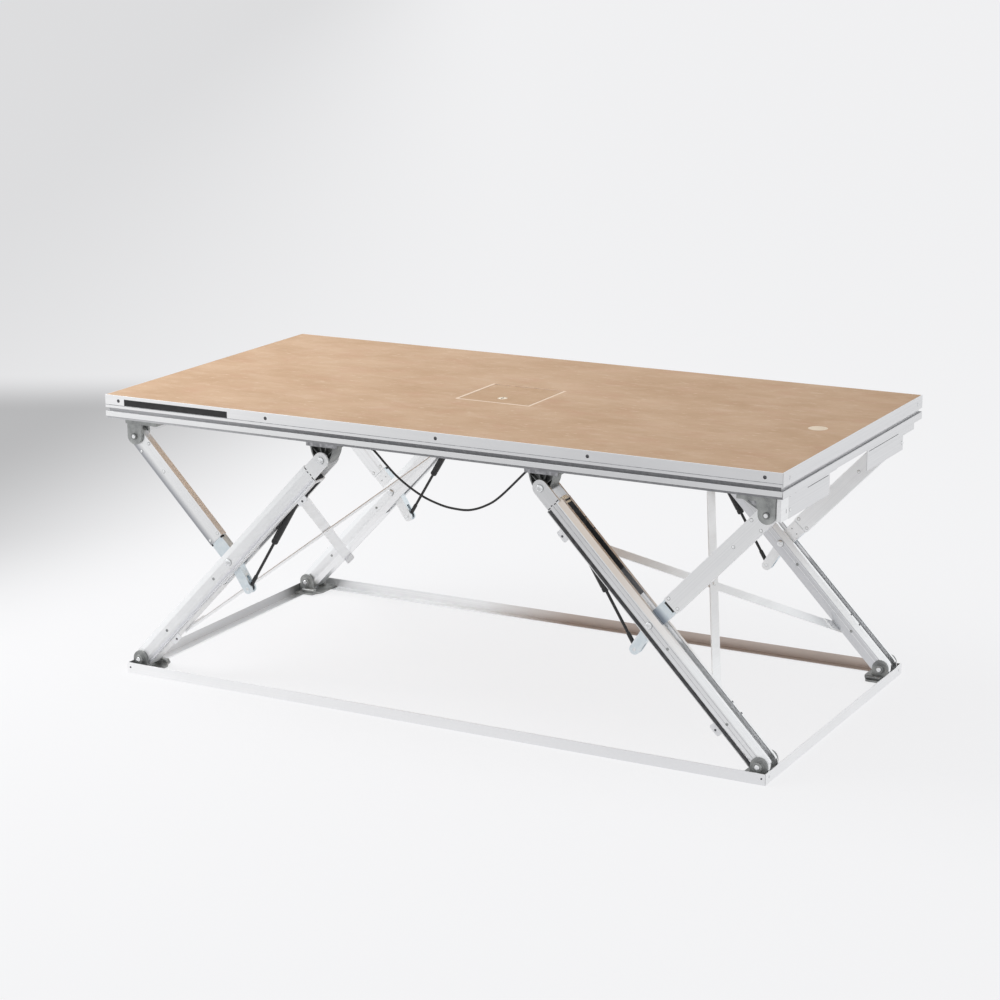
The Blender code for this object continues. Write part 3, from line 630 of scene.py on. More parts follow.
def cornerFrames(end, side):
    outX, outY = (-1 if end == "left" else 1), (-1 if side == "front" else 1)
    theta = lean["theta"]
    turn = Matrix.Rotation(0.0 if end == "left" else math.pi, 4, "Z")
    base = Vector((linkage["pivotX"] * outX, linkage["plane"] * outY, linkage["baseHeight"]))
    leg = Matrix.Translation(base) @ turn @ Matrix.Rotation(-theta, 4, "Y")
    middle = leg @ Vector((linkage["halfLeg"], 0, 0))
    strut = Matrix.Translation(middle) @ turn @ Matrix.Rotation(theta, 4, "Y")
    tip = strut @ Vector((linkage["leverTip"][0], 0, linkage["leverTip"][1]))
    springTop = leg @ Vector((linkage["halfLeg"] + linkage["springUp"], 0, 0))
    legTop = leg @ Vector((2 * linkage["halfLeg"], 0, 0))
    return {"base": base, "leg": leg, "strut": strut, "tip": tip, "springTop": springTop, "legTop": legTop,
            "outX": outX, "outY": outY, "out": -outX * outY}  # out: the table's outside, along a leg's own y


frames = {corner: cornerFrames(*corner) for corner in corners}

# Small fasteners are gathered here and set together at the end
fasteners = {}


def fix(kind, body, point, direction):
    # each rivet also gets a thin grey ring round its head: painted shadow
    for part in (kind, "rivetSeat") if kind in ("rivet", "flatRivet") else (kind,):
        fasteners.setdefault((body, part), []).append(facing(point, direction))


# A thin line pressed into a face: cut the strip out, push it in
def pressLine(piece, place, test, axis, at, width, depth, finish=None):
    normal = place.to_3x3() @ Vector(axis)
    startEdit(piece)
    for edge in (at - width / 2, at + width / 2):
        selectFaces(piece, test, place)
        bpy.ops.mesh.bisect(plane_co=place @ (Vector(axis) * edge), plane_no=normal)
    inStrip = lambda middle, facingTo: test(middle, facingTo) and abs(middle.dot(Vector(axis)) - at) < width * 0.4
    if selectFaces(piece, inStrip, place):
        bpy.ops.mesh.extrude_region_shrink_fatten(TRANSFORM_OT_shrink_fatten={"value": -depth})
        if finish:
            paintSelected(piece, finish)
    endEdit()


# Rails: a score line, a groove and a set-back foot in painted shade, screws in shallow pockets painted in shade on the
# long rails, a plain strip at the front left
railWork = {"longFace": 0.5, "endFace": 1.0, "skin": 0.002, "bandFoot": 0.765,
            "score": 0.7722, "scoreWidth": 0.0015, "scoreDepth": 0.0006,
            "footTop": 0.7402, "footHeight": 0.02, "footLength": 2.2, "footSetback": 0.0022,
            "grooveLow": 0.7536, "grooveHigh": 0.7644, "grooveStart": 0.0004, "grooveDeep": 0.0085,
            "longScrews": (-0.955, -0.4745, 0.045, 0.479, 0.953), "longHeight": 0.785,
            "endScrews": (-0.459, 0.459), "endHeight": 0.781,
            "screwRadius": 0.0046, "screwFlare": 0.0006, "screwDepth": 0.0016, "screwSides": 20,
            "strip": (-0.936, -0.597, 0.7732, 0.7908), "stripDepth": 0.0006}
outwards = {"front": Vector((0, -1, 0)), "back": Vector((0, 1, 0)),
            "left": Vector((-1, 0, 0)), "right": Vector((1, 0, 0))}


def workRail(side):
    piece = made["rail_" + side]
    out = outwards[side]
    long = side in ("front", "back")
    along = Vector((1, 0, 0)) if long else Vector((0, 1, 0))
    face = railWork["longFace" if long else "endFace"]
    onBand = lambda middle, normal: (normal.dot(out) > 0.9 and middle.z > railWork["bandFoot"]
                                     and middle.dot(out) > face - railWork["skin"])
    inGroove = lambda middle: (railWork["grooveLow"] < middle.z < railWork["grooveHigh"]
                               and railWork["grooveStart"] < face - middle.dot(out) < railWork["grooveDeep"])
    if long:
        pressLine(piece, Matrix.Identity(4), onBand, (0, 0, 1), railWork["score"], railWork["scoreWidth"],
                  railWork["scoreDepth"], finishes["greyShadeAndLight"])
    paintFaces(piece, finishes["grooveShade" if long else "greyShadeAndLight"],
               lambda middle, normal: inGroove(middle) and (long or normal.z > 0.9))
    if long:
        footMiddle = railWork["footTop"] - railWork["footHeight"] / 2
        cutWith(piece, boxAt("rebate", (railWork["footLength"], 2 * railWork["footSetback"], railWork["footHeight"]),
                             out * face + Vector((0, 0, footMiddle))), finishes["grooveShade"])
    deep, radius = railWork["screwDepth"], railWork["screwRadius"]
    for at in railWork["longScrews" if long else "endScrews"]:
        point = along * at + out * face + Vector((0, 0, railWork["longHeight" if long else "endHeight"]))
        pocket = [(-deep, radius), (railWork["skin"], radius + railWork["screwFlare"])]
        cutWith(piece, turned("pocket", pocket, railWork["screwSides"], facing(point, out)),
                finishes["recessShade"] if long else None)
        fix("screw" if long else "paleScrew", "deck", point - out * (deep - 0.0001), out)
    if side == "front":
        left, right, low, high = railWork["strip"]
        cutWith(piece, boxAt("pocket", (right - left, 2 * railWork["stripDepth"], high - low),
                             ((left + right) / 2, -face, (low + high) / 2)), finishes["strip"])


for side in outwards:
    workRail(side)

# Base bars: the inner faces that show under the table take a darker tint of painted shade
barWork = {"backInside": 0.49, "leftInside": -0.96, "flangeTop": 0.004}
paintFaces(made["base_bar_back"], finishes["baseBackShade"],
           lambda middle, normal: normal.y < -0.5 and middle.y > barWork["backInside"]
           or normal.z > 0.9 and middle.z < barWork["flangeTop"])
paintFaces(made["base_bar_left"], finishes["baseLeftShade"],
           lambda middle, normal: normal.x > 0.5 and middle.x < barWork["leftInside"])
print("rails and bars worked")

# Legs: score lines, in painted shade on the right front leg, a notch with a thin lip along the lower edges, in painted
# shade on the right legs, a shaded slot, short slots at the fork drawn in painted shadow, and brace tabs
legWork = {"halfWidth": 0.029, "nearSide": 0.0285, "onSide": 0.02895,
           "scores": (0.0085, -0.0025), "scoreWidth": 0.0011, "scoreDepth": 0.0004,
           "chamfer": (0.029, -0.014), "chamferRun": (0.007, 0.014), "chamferIn": 0.0212,
           "notch": ((0.42, -0.0046, -0.0001), (0.72, 0.0047, -0.0011), (0.90, 0.0060, -0.0009)),
           "notchFloor": (-0.0256, -0.0196, 0.0289), "wall": (0.0195, 0.0265, -0.0130),
           "wallLine": (0.02325, -0.0191), "wallPush": 0.0047, "reach": 0.0002,
           "lowerEdge": (0.0192, -0.0141), "upperEdge": (0.0125, 0.0142),
           "slotWall": 0.0263, "slotFloor": (0.0215, -0.02),
           "shades": ((0.52, 0.60, "grooveShade"), (0.60, 0.826, "recessShade")),
           "rivets": (0.130, 0.368), "lipRivets": (0.130, 0.166, 0.723, 0.759), "lip": (0.0175, 0.027)}
tabWork = {"places": (0.137, 0.757), "size": (0.034, 0.0026, 0.017), "across": 0.0262, "height": -0.0362,
           "corner": 0.005, "rivet": (0.0275, -0.0372)}
forkWork = {"place": 0.8305, "stagger": 0.002, "across": 0.0291, "slots": (-0.0165, -0.0055, 0.0055, 0.0165),
            "size": (0.0026, 0.0006), "long": 0.0085, "short": 0.0055,
            "stop": ((0.0220, 0.0236, 0.0160), (0.8245, 0, 0.0185)),
            "stopGap": ((0.0050, 0.0300, 0.0080), (0.8215, 0, 0.0285)),
            "stopHollow": ((0.0130, 0.0300, 0.0140), (0.8170, 0, 0.0152))}  # room for the spring's tail


# Moves the points that lie along a line of the section
def shiftLine(piece, place, y, z, move):
    back = place.inverted()

    def onLine(point):
        at = back @ point
        return abs(at.y - y) < legWork["reach"] and abs(at.z - z) < legWork["reach"]
    movePoints(piece, onLine, place.to_3x3() @ Vector(move))


# Outer chamfer folded into a notch and a lip, and the wall behind it pushed in to match
def notchLeg(piece, place, sign, finish):
    turn = place.to_3x3()
    (topY, topZ), (runY, runZ) = legWork["chamfer"], legWork["chamferRun"]
    lines = [(sign * (topY - runY * share), topZ - runZ * share, (0, sign * outward, upward))
             for share, outward, upward in legWork["notch"]]
    near, far, under = legWork["wall"]
    wallY, wallZ = legWork["wallLine"]
    low, high, edge = legWork["notchFloor"]
    onChamfer = lambda middle, normal: (normal.y * sign > 0.8 and -0.6 < normal.z < -0.3
                                        and middle.y * sign > legWork["chamferIn"])
    onWall = lambda middle, normal: (normal.y * sign < -0.8 and 0.3 < normal.z < 0.6
                                     and near < middle.y * sign < far and middle.z < under)
    startEdit(piece)
    for y, z, move in lines:
        selectFaces(piece, onChamfer, place)
        bpy.ops.mesh.bisect(plane_co=place @ Vector((0, y, z)), plane_no=turn @ Vector((0, -0.447 * sign, -0.894)))
    selectFaces(piece, onWall, place)
    bpy.ops.mesh.bisect(plane_co=place @ Vector((0, sign * wallY, wallZ)),
                        plane_no=turn @ Vector((0, -0.424 * sign, -0.906)))
    bpy.ops.mesh.select_mode(type="VERT")
    for y, z, move in lines:
        shiftLine(piece, place, y, z, move)
    shiftLine(piece, place, sign * wallY, wallZ, (0, sign * -legWork["wallPush"], 0))
    endEdit()
    # painted shade on the notch's floor, where a finish is given
    if finish:
        paintFaces(piece, finish, lambda middle, normal: normal.y * sign > 0.3 and normal.z > 0.6
                   and low < middle.z < high and legWork["chamferIn"] < middle.y * sign < edge, place)


def shadeSlot(piece, place):
    half, floor = legWork["slotFloor"]
    inside = lambda middle, normal: abs(middle.y) < legWork["slotWall"] and (
        normal.y * middle.y < 0 and abs(normal.y) > 0.3
        or normal.z > 0.9 and middle.z < floor and abs(middle.y) < half)
    for start, stop, finish in legWork["shades"]:
        for edge in (start, stop):
            splitFaces(piece, inside, place, edge)
        paintFaces(piece, finishes[finish],
                   lambda middle, normal: inside(middle, normal) and start < middle.x < stop, place)


# The flat sides and edges of a leg, in the tones of its corner: matt lower edges on the left legs, painted shade on the
# right legs' sides, a painted reflection of the wood on the right front leg's upper edges
def paintLeg(piece, place, end, side, out):
    inY, inZ = legWork["lowerEdge"]
    lowerEdge = lambda middle, way: middle.y * way > inY and middle.z < inZ
    if end == "left":
        paintFaces(piece, finishes["matt"], lambda middle, normal: lowerEdge(middle, out), place)
    else:
        paintFaces(piece, finishes["legFaceShade"], lambda middle, normal: abs(normal.y) > 0.95
                   and abs(middle.y) > legWork["onSide"], place)
        if side == "back":
            paintFaces(piece, finishes["legShade"], lambda middle, normal: lowerEdge(middle, -out)
                       or middle.y * out < -legWork["onSide"] and normal.y * out < -0.95, place)
    if side == "front":
        shadeSlot(piece, place)
    if (end, side) == ("right", "front"):
        inY2, inZ2 = legWork["upperEdge"]
        paintFaces(piece, finishes["woodReflectionLeg"], lambda middle, normal: normal.z > 0.3 and middle.z > inZ2
                   and abs(middle.y) > inY2, place)


# A small upright plate at each brace end, its lower corners rounded
def addTabs(end, side, place, out):
    tabs = []
    back = place.inverted()
    for at in tabWork["places"]:
        tab = boxAt("tab", tabWork["size"], (at, out * tabWork["across"], tabWork["height"]), place)
        startEdit(tab, "EDGE")
        mesh = bmesh.from_edit_mesh(tab.data)
        for edge in mesh.edges:
            first, last = [back @ point.co for point in edge.verts]
            edge.select_set(abs(first.y - last.y) > 0.001 and max(first.z, last.z) < tabWork["height"] + 0.0002)
        bmesh.update_edit_mesh(tab.data)
        bpy.ops.mesh.bevel(offset=tabWork["corner"], segments=4, affect="EDGES")
        endEdit()
        softenEdges(tab, 0.0004)
        tabs.append(tab)
    dress(joinPieces(tabs, f"brace_tabs_{end}_{side}"), end + "_legs", finishes["matt"])


# At the fork: a split stop in the slot, its gap in painted shade, and a row of short slots on each side, drawn as thin
# black marks of painted shadow
def addForkPieces(end, side, place):
    stop = boxAt(f"slot_stop_{end}_{side}", *forkWork["stop"], place)
    stop.data.materials.append(finishes["brass"])
    softenEdges(stop, 0.0012, 3)
    cutWith(stop, boxAt("gap", *forkWork["stopGap"], place), finishes["recessShade"])
    cutWith(stop, boxAt("hollow", *forkWork["stopHollow"], place))
    dress(stop, end + "_legs")
    slotPieces = []
    for sign in (-1, 1):
        for index, height in enumerate(forkWork["slots"]):
            size = (*forkWork["size"], forkWork["long" if index in (0, 3) else "short"])
            at = (forkWork["place"] + forkWork["stagger"] * (index % 2), sign * forkWork["across"], height)
            slotPieces.append(boxAt("slot", size, at, place))
            softenEdges(slotPieces[-1], 0.0002, 1)
    dress(joinPieces(slotPieces, f"fork_slot_shadows_{end}_{side}"), end + "_legs", finishes["shadow"])


def workLeg(end, side):
    piece = made[f"leg_{end}_{side}"]
    place, out = frames[end, side]["leg"], frames[end, side]["out"]
    body = end + "_legs"
    across = place.to_3x3() @ Vector((0, 1, 0))
    up = place.to_3x3() @ Vector((0, 0, 1))
    # painted shade in the right front leg's score lines
    scoreShade = finishes["greyShadeAndLight"] if (end, side) == ("right", "front") else None
    splitFaces(piece, lambda middle, normal: abs(normal.y) > 0.95 and abs(middle.y) > legWork["nearSide"], place,
               forkWork["place"])
    for sign in (-1, 1):
        belowFork = lambda middle, normal: (normal.y * sign > 0.95 and middle.y * sign > legWork["nearSide"]
                                            and middle.x < forkWork["place"])
        for score in legWork["scores"]:
            pressLine(piece, place, belowFork, (0, 0, 1), score, legWork["scoreWidth"], legWork["scoreDepth"], scoreShade)
    notchLeg(piece, place, out, finishes["recessShade"] if end == "right" else None)
    paintLeg(piece, place, end, side, out)
    for at in legWork["rivets"]:
        for sign in (-1, 1):
            fix("legRivet", body, place @ Vector((at, sign * legWork["halfWidth"], 0)), across * sign)
    for at in legWork["lipRivets"]:
        fix("smallRivet", body, place @ Vector((at, -out * legWork["lip"][0], legWork["lip"][1])), up)
    addTabs(end, side, place, out)
    for at in tabWork["places"]:
        fix("tabRivet", body, place @ Vector((at, out * tabWork["rivet"][0], tabWork["rivet"][1])), across * out)
    addForkPieces(end, side, place)


for corner in corners:
    workLeg(*corner)
print("legs worked")

# Struts: a crease along the tube, rivets, a black line of painted shadow where the bracket enters, bolt caps at the
# pivots, painted shade on the outer side of the front left strut and the front right bracket
strutWork = {"crease": 0.010, "creaseWidth": 0.0014, "creaseDepth": 0.0006, "halfWidth": 0.012, "nearSide": 0.0115,
             "rivets": ((-0.401, 0.0175), (-0.401, -0.0175), (-0.315, 0.0)),
             "flatRivets": ((-0.084, 0.017), (-0.084, -0.017)),  # low enough to pass the leg's slot
             "dots": ((-0.049, 0.010), (-0.049, -0.010)), "dotSeat": 0.0119, "capSeat": 0.0290,
             "endRing": (0.0222, 0.0068, 0.0092), "shadeFrom": -0.022, "bracketSide": 0.0090,
             "gapPlace": -0.0697, "gapFlat": ((0.0056, 0.0012, 0.033), 0.0121),
             "gapEdge": ((0.0056, 0.0126, 0.0052), 0.0063), "gapEdges": (-0.0203, 0.0203)}


# A bolt cap on its seat, standing on a flat side
def fixCap(body, point, direction, seat):
    fix("cap", body, point + direction * (seat + 0.0001), direction)
    fix("capSeat", body, point + direction * seat, direction)


# Painted shadow: a black line where the bracket enters, across the flat side, at the left on the narrow edges
def addGapMarks(end, side, place, out):
    at = strutWork["gapPlace"]
    size, across = strutWork["gapEdge" if end == "left" else "gapFlat"]
    heights = strutWork["gapEdges"] if end == "left" else (0,)
    marks = [boxAt("mark", size, (at, out * across, height), place) for height in heights]
    marks = joinPieces(marks, f"bracket_gap_shadow_{end}_{side}")
    softenEdges(marks, 0.0003)
    dress(marks, f"{end}_{side}_strut", finishes["shadow"])


def workStrut(end, side):
    piece, bracket = made[f"strut_{end}_{side}"], made[f"strut_bracket_{end}_{side}"]
    place, out = frames[end, side]["strut"], frames[end, side]["out"]
    body = f"{end}_{side}_strut"
    across = place.to_3x3() @ Vector((0, 1, 0))
    tipX, tipZ = linkage["leverTip"]
    for sign in (-1, 1):
        onSide = lambda middle, normal: normal.y * sign > 0.95 and middle.y * sign > strutWork["nearSide"]
        pressLine(piece, place, onSide, (0, 0, 1), strutWork["crease"], strutWork["creaseWidth"],
                  strutWork["creaseDepth"])
        for kind in ("rivet", "flatRivet"):
            for at, height in strutWork[kind + "s"]:
                fix(kind, body, place @ Vector((at, sign * strutWork["halfWidth"], height)), across * sign)
        fixCap(body, place.translation, across * sign, strutWork["capSeat"])
        fix("pin", body, place @ Vector((tipX, sign * strutWork["dotSeat"], tipZ)), across * sign)
    deckEnd = place @ Matrix.Translation((-linkage["halfLeg"], 0, 0)) @ Matrix.Rotation(math.pi / 2, 4, "X")
    dress(ringAt(f"strut_end_{end}_{side}", *strutWork["endRing"], deckEnd, 48), body, finishes["pale"])
    addGapMarks(end, side, place, out)
    if side == "front":
        shaded, finish = (piece, "strutShade") if end == "left" else (bracket, "zincShade")
        outside = lambda middle, normal: normal.y * out > 0.8
        splitFaces(shaded, outside, place, strutWork["shadeFrom"])
        paintFaces(shaded, finishes[finish],
                   lambda middle, normal: outside(middle, normal) and middle.x < strutWork["shadeFrom"], place)
    paintFaces(bracket, finishes["pale"],
               lambda middle, normal: middle.y * out < -strutWork["bracketSide"] and normal.y * out < -0.5, place)
    for at, height in strutWork["dots"]:
        fix("dot", body, place @ Vector((at, -out * strutWork["dotSeat"], height)), across * -out)


for corner in corners:
    workStrut(*corner)
print("struts worked")

# Gas springs: a drawn cylinder with a rolled mouth and a polished rod with a socket end
spring = {"exposed": 0.162, "bodyRadius": 0.0095, "rodRadius": 0.004, "socketRadius": 0.0056, "socketLength": 0.045,
          "eyeRadius": 0.0085, "eyeHalf": 0.0055, "eyeHole": 0.0044, "tailGap": 0.012, "rodInside": 0.033, "sides": 40}


def springEye(place):
    return ringAt("eye", spring["eyeRadius"], spring["eyeHole"], spring["eyeHalf"],
                  place @ Matrix.Rotation(math.pi / 2, 4, "X"))


def addSpring(end, side):
    tip, top = frames[end, side]["tip"], frames[end, side]["springTop"]
    reach = top - tip
    length = reach.length
    line = reach.normalized()
    across = frames[end, side]["strut"].to_3x3() @ Vector((0, 1, 0))
    place = Matrix((line, across, line.cross(across))).transposed().to_4x4()
    place.translation = tip
    upright = place @ Matrix.Rotation(math.pi / 2, 4, "Y")  # its z runs along the spring
    mouth, tail, radius = spring["exposed"], length - spring["tailGap"], spring["bodyRadius"]
    tube = turned("tube", [(mouth + 0.004, 0.0047), (mouth + 0.0002, 0.0047), (mouth, 0.0052), (mouth, 0.0070),
                           (mouth + 0.0012, 0.0084), (mouth + 0.0035, radius), (mouth + 0.011, radius),
                           (mouth + 0.0125, radius - 0.0011), (mouth + 0.0140, radius - 0.0011),
                           (mouth + 0.0155, radius), (tail - 0.004, radius), (tail - 0.0012, radius - 0.0012),
                           (tail, radius - 0.003), (tail, 0.005), (length - 0.0076, 0.005)], spring["sides"], upright)
    tube = joinPieces([tube, springEye(place @ Matrix.Translation((length, 0, 0)))], f"spring_tube_{end}_{side}")
    dress(tube, f"{end}_{side}_spring_body", finishes["spring"], (f"spring_body_{end}_{side}",), 40)
    socket, socketEnd, rod = spring["socketRadius"], spring["socketLength"], spring["rodRadius"]
    shaft = turned("shaft", [(0.0070, 0.0048), (0.0085, socket), (socketEnd - 0.003, socket),
                             (socketEnd, socket - 0.0010), (socketEnd + 0.0005, rod),
                             (mouth + spring["rodInside"], rod)], spring["sides"], upright)
    shaft = joinPieces([shaft, springEye(place)], f"spring_shaft_{end}_{side}")
    dress(shaft, f"{end}_{side}_spring_rod", finishes["spring"], (f"spring_rod_{end}_{side}",), 40)


for corner in corners:
    addSpring(*corner)
print("springs made")

# Sliders: a paler rim round dark pockets with ribs
sliderWork = {"ribs": ((12, 0.0233), (42, 0.0425), (74, 0.0455), (106, 0.0455), (138, 0.0425), (168, 0.0233)),
              "ribRoot": 0.0105, "ribThick": 0.0024, "ribFoot": 0.0028, "ribTop": 0.0165,
              "bowlCentre": 0.0480, "bowlRadius": 0.030, "bowlTop": 0.0472, "rimIn": 0.0214, "rimEdge": 0.0222,
              "rimOut": 0.0225, "plateFoot": 0.7135, "plateFront": 0.45}


def workSlider(end, side):
    piece = made[f"slider_{end}_{side}"]
    place = Matrix.Translation(frames[end, side]["legTop"])

    def onRim(middle, normal):
        reach = Vector((middle.x, 0, middle.z - sliderWork["bowlCentre"]))
        outside = (reach.length > sliderWork["bowlRadius"] and reach.normalized().dot(normal) > 0.5
                   and abs(middle.y) < sliderWork["rimEdge"])
        flat = abs(normal.y) > 0.9 and sliderWork["rimIn"] < abs(middle.y) < sliderWork["rimOut"]
        return middle.z < sliderWork["bowlTop"] and (outside or flat)
    paintFaces(piece, finishes["castMid"], onRim, place)
    root, foot, top = sliderWork["ribRoot"], sliderWork["ribFoot"], sliderWork["ribTop"]
    ribs = []
    for sign in (-1, 1):
        for angle, reach in sliderWork["ribs"]:
            ribs.append(boxAt("rib", (reach - root, top - foot, sliderWork["ribThick"]),
                              ((reach + root) / 2, sign * (top + foot) / 2, 0),
                              place @ Matrix.Rotation(math.radians(-angle), 4, "Y")))
            softenEdges(ribs[-1], 0.0005)
    dress(joinPieces(ribs, f"slider_ribs_{end}_{side}"), f"{end}_{side}_slider", finishes["castDark"])


# Castings: deeper plates under the rails, and a thinner, paler panel in each gusset at the right
castWork = {"earOuter": 0.037, "boltStand": 0.0083, "deckEar": 0.020,
            "hubEnd": 0.024, "hubFace": 0.0203, "hubRadius": 0.0098,
            "panel": (0.0268, 0.0500, 0.0150, 0.0330), "panelDepth": 0.0016,
            "plateFrom": 0.7240, "plateTo": 0.7275, "plateDown": 0.0125, "plateEdge": 0.4763, "plateOut": -0.0195,
            "plateEnds": ((0.974, -0.0085), (0.872, -0.010)), "endReach": 0.0015}


def workGussets(side):
    piece = made[f"deck_casting_right_{side}"]
    base = frames["right", side]["base"]
    place = Matrix.Translation((base.x, base.y, linkage["deckHeight"]))
    near, far, low, high = castWork["panel"]
    for sign in (-1, 1):
        panel = boxAt("panel", (far - near, 2 * castWork["panelDepth"], high - low),
                      (-(near + far) / 2, sign * castWork["deckEar"], (low + high) / 2), place)
        startEdit(panel)
        bpy.ops.mesh.select_all(action="SELECT")
        bpy.ops.mesh.bisect(plane_co=place @ Vector((-near, 0, low)), plane_no=(low - high, 0, near - far),
                            use_fill=True, clear_outer=True)
        endEdit()
        cutWith(piece, panel, finishes["greyShadeAndLight"])


# A plate under a rail: its ends moved, then its front edge nearer to the ears, then its foot lower
def deepenPlate(piece, outY, ends):
    onPlate = lambda point: point.z > castWork["plateFrom"]
    startEdit(piece, "VERT")
    for at, move in ends:
        movePoints(piece, lambda point: onPlate(point) and abs(point.x - at) < castWork["endReach"], (move, 0, 0))
    movePoints(piece, lambda point: onPlate(point) and point.y * outY > castWork["plateEdge"],
               (0, outY * castWork["plateOut"], 0))
    movePoints(piece, lambda point: onPlate(point) and point.z < castWork["plateTo"], (0, 0, -castWork["plateDown"]))
    endEdit()


# Base castings: the plate reaches further in, with a low step beside the ear
footWork = {"edge": 0.0385, "height": 0.0105, "reach": 0.018, "step": (0.046, 0.016, 0.011),
            "stepAt": (0.014, 0.0445, 0.0135), "stepEdge": 0.004}


def widenFoot(end, side):
    piece = made[f"base_casting_{end}_{side}"]
    base, inX, inY = frames[end, side]["base"], -frames[end, side]["outX"], -frames[end, side]["outY"]
    startEdit(piece, "VERT")
    movePoints(piece, lambda point: (point.y - base.y) * inY > footWork["edge"] and point.z < footWork["height"],
               (0, inY * footWork["reach"], 0))
    endEdit()
    along, across, high = footWork["stepAt"]
    step = boxAt(f"foot_step_{end}_{side}", footWork["step"], (base.x + inX * along, base.y + inY * across, high))
    softenEdges(step, footWork["stepEdge"], 3)
    dress(step, "base", finishes["castMid"])


for end, side in corners:
    outX, outY = frames[end, side]["outX"], frames[end, side]["outY"]
    slider = made[f"slider_{end}_{side}"]
    widenFoot(end, side)
    deepenPlate(slider, outY, ())
    # painted light: the front edge of the slider's plate takes a paler grey
    paintFaces(slider, finishes["greyShadeAndLight"], lambda middle, normal: middle.z > sliderWork["plateFoot"]
               and normal.y * outY > 0.5 and middle.y * outY > sliderWork["plateFront"])
    deepenPlate(made[f"deck_casting_{end}_{side}"], outY,
                [(outX * at, outX * move) for at, move in castWork["plateEnds"]])
    workSlider(end, side)
for side in ("front", "back"):
    workGussets(side)
print("castings worked")

# Bolts at the castings, screws through the base bars and rivets in the end plates
barScrews = {"long": (0.958, 0.4944, 0.017), "short": (0.9689, 0.470, 0.017)}
plateRivets = ((0.9795, 0.400, 0.7225), (0.9795, 0.400, 0.6850))
for end, side in corners:
    base, legTop = frames[end, side]["base"], frames[end, side]["legTop"]
    outX, outY = frames[end, side]["outX"], frames[end, side]["outY"]
    deckPivot = Vector((base.x, base.y, linkage["deckHeight"]))
    # painted shade: a darker ring of cast round each deck pivot
    paintFaces(made[f"deck_casting_{end}_{side}"], finishes["castDark"],
               lambda middle, normal: abs(middle.y - base.y) > castWork["hubFace"]
               and Vector((middle.x - base.x, middle.z - linkage["deckHeight"])).length < castWork["hubRadius"])
    for sign in (-1, 1):
        across = Vector((0, sign, 0))
        fix("collar", "base", base + across * castWork["earOuter"], across)
        fix("boltEnd", "base", base + across * (castWork["earOuter"] + castWork["boltStand"]), across)
        fix("hubPin", "deck", deckPivot + across * castWork["hubEnd"], across)
        fixCap(f"{end}_{side}_slider", legTop, across, strutWork["capSeat"])
    toCorner = lambda place: (outX * place[0], outY * place[1], place[2])
    fix("barScrew", "base", toCorner(barScrews["long"]), (0, outY, 0))
    fix("paleScrew", "base", toCorner(barScrews["short"]), (outX, 0, 0))
    for place in plateRivets:
        fix("rivet", "deck", toCorner(place), (outX, 0, 0))

# Right end: an upright tab with a slit in painted shade at the front, a shallow strip to the corner at the back
endTabs = {"front": ((0.0026, 0.0480, 0.0650), (0.9780, -0.4330, 0.6970)),
           "back": ((0.0026, 0.0895, 0.0310), (0.9780, 0.4537, 0.7181)),
           "flange": ((0.0115, 0.0026, 0.0650), (0.97195, -0.4527, 0.6970)),
           "slit": ((0.010, 0.0022, 0.011), (0.9780, -0.4240, 0.6870))}
for side in ("front", "back"):
    tab = boxAt("end_tab_" + side, *endTabs[side])
    if side == "front":
        tab = joinPieces([tab, boxAt("flange", *endTabs["flange"])], "end_tab_front")
    tab.data.materials.append(finishes["pale" if side == "front" else "endRailShade"])
    softenEdges(tab, 0.0009, 3)
    if side == "front":
        cutWith(tab, boxAt("slit", *endTabs["slit"]), finishes["recessShade"])
    dress(tab, "deck")

# End plates: a slit in painted shade near the middle of the table, longer at the right back
plateSlit = {"near": 0.146, "far": 0.286, "farRightBack": 0.370, "face": 0.9795, "height": 0.7150, "deep": 0.002,
             "width": 0.0016}
for end, side in corners:
    outX, outY = frames[end, side]["outX"], frames[end, side]["outY"]
    near, far = plateSlit["near"], plateSlit["farRightBack" if (end, side) == ("right", "back") else "far"]
    slit = boxAt("slit", (plateSlit["deep"], far - near, plateSlit["width"]),
                 (outX * plateSlit["face"], outY * (far + near) / 2, plateSlit["height"]))
    cutWith(made[f"end_plate_{end}_{side}"], slit, finishes["recessShade"])

# Cross braces: one rivet where they cross, with a head on both sides
braceRivet = {"along": 0.449, "over": 0.0283, "under": 0.0346}
for end in ("left", "right"):
    leg = frames[end, "front"]["leg"]
    turnUp = leg.to_3x3() @ Vector((0, 0, 1))
    crossing = leg @ Vector((braceRivet["along"], 0, 0))
    crossing.y = 0.0
    fix("rivet", end + "_legs", crossing - turnUp * braceRivet["over"], turnUp)
    fix("rivet", end + "_legs", crossing - turnUp * braceRivet["under"], -turnUp)

# Deck board: worn pale edges round the hatch, painted light on the hatch hole's back wall and on the underside, and a
# pale round plug let into the right end
boardWork = {"top": 0.8, "hole": 0.1062, "band": 0.0078, "topSkin": 0.7995, "rimLow": 0.7985, "under": 0.783,
             "backEdge": 0.1, "plugPlace": (0.896, -0.0095), "plugRadius": 0.026, "plugDepth": 0.0006, "plugSides": 64}


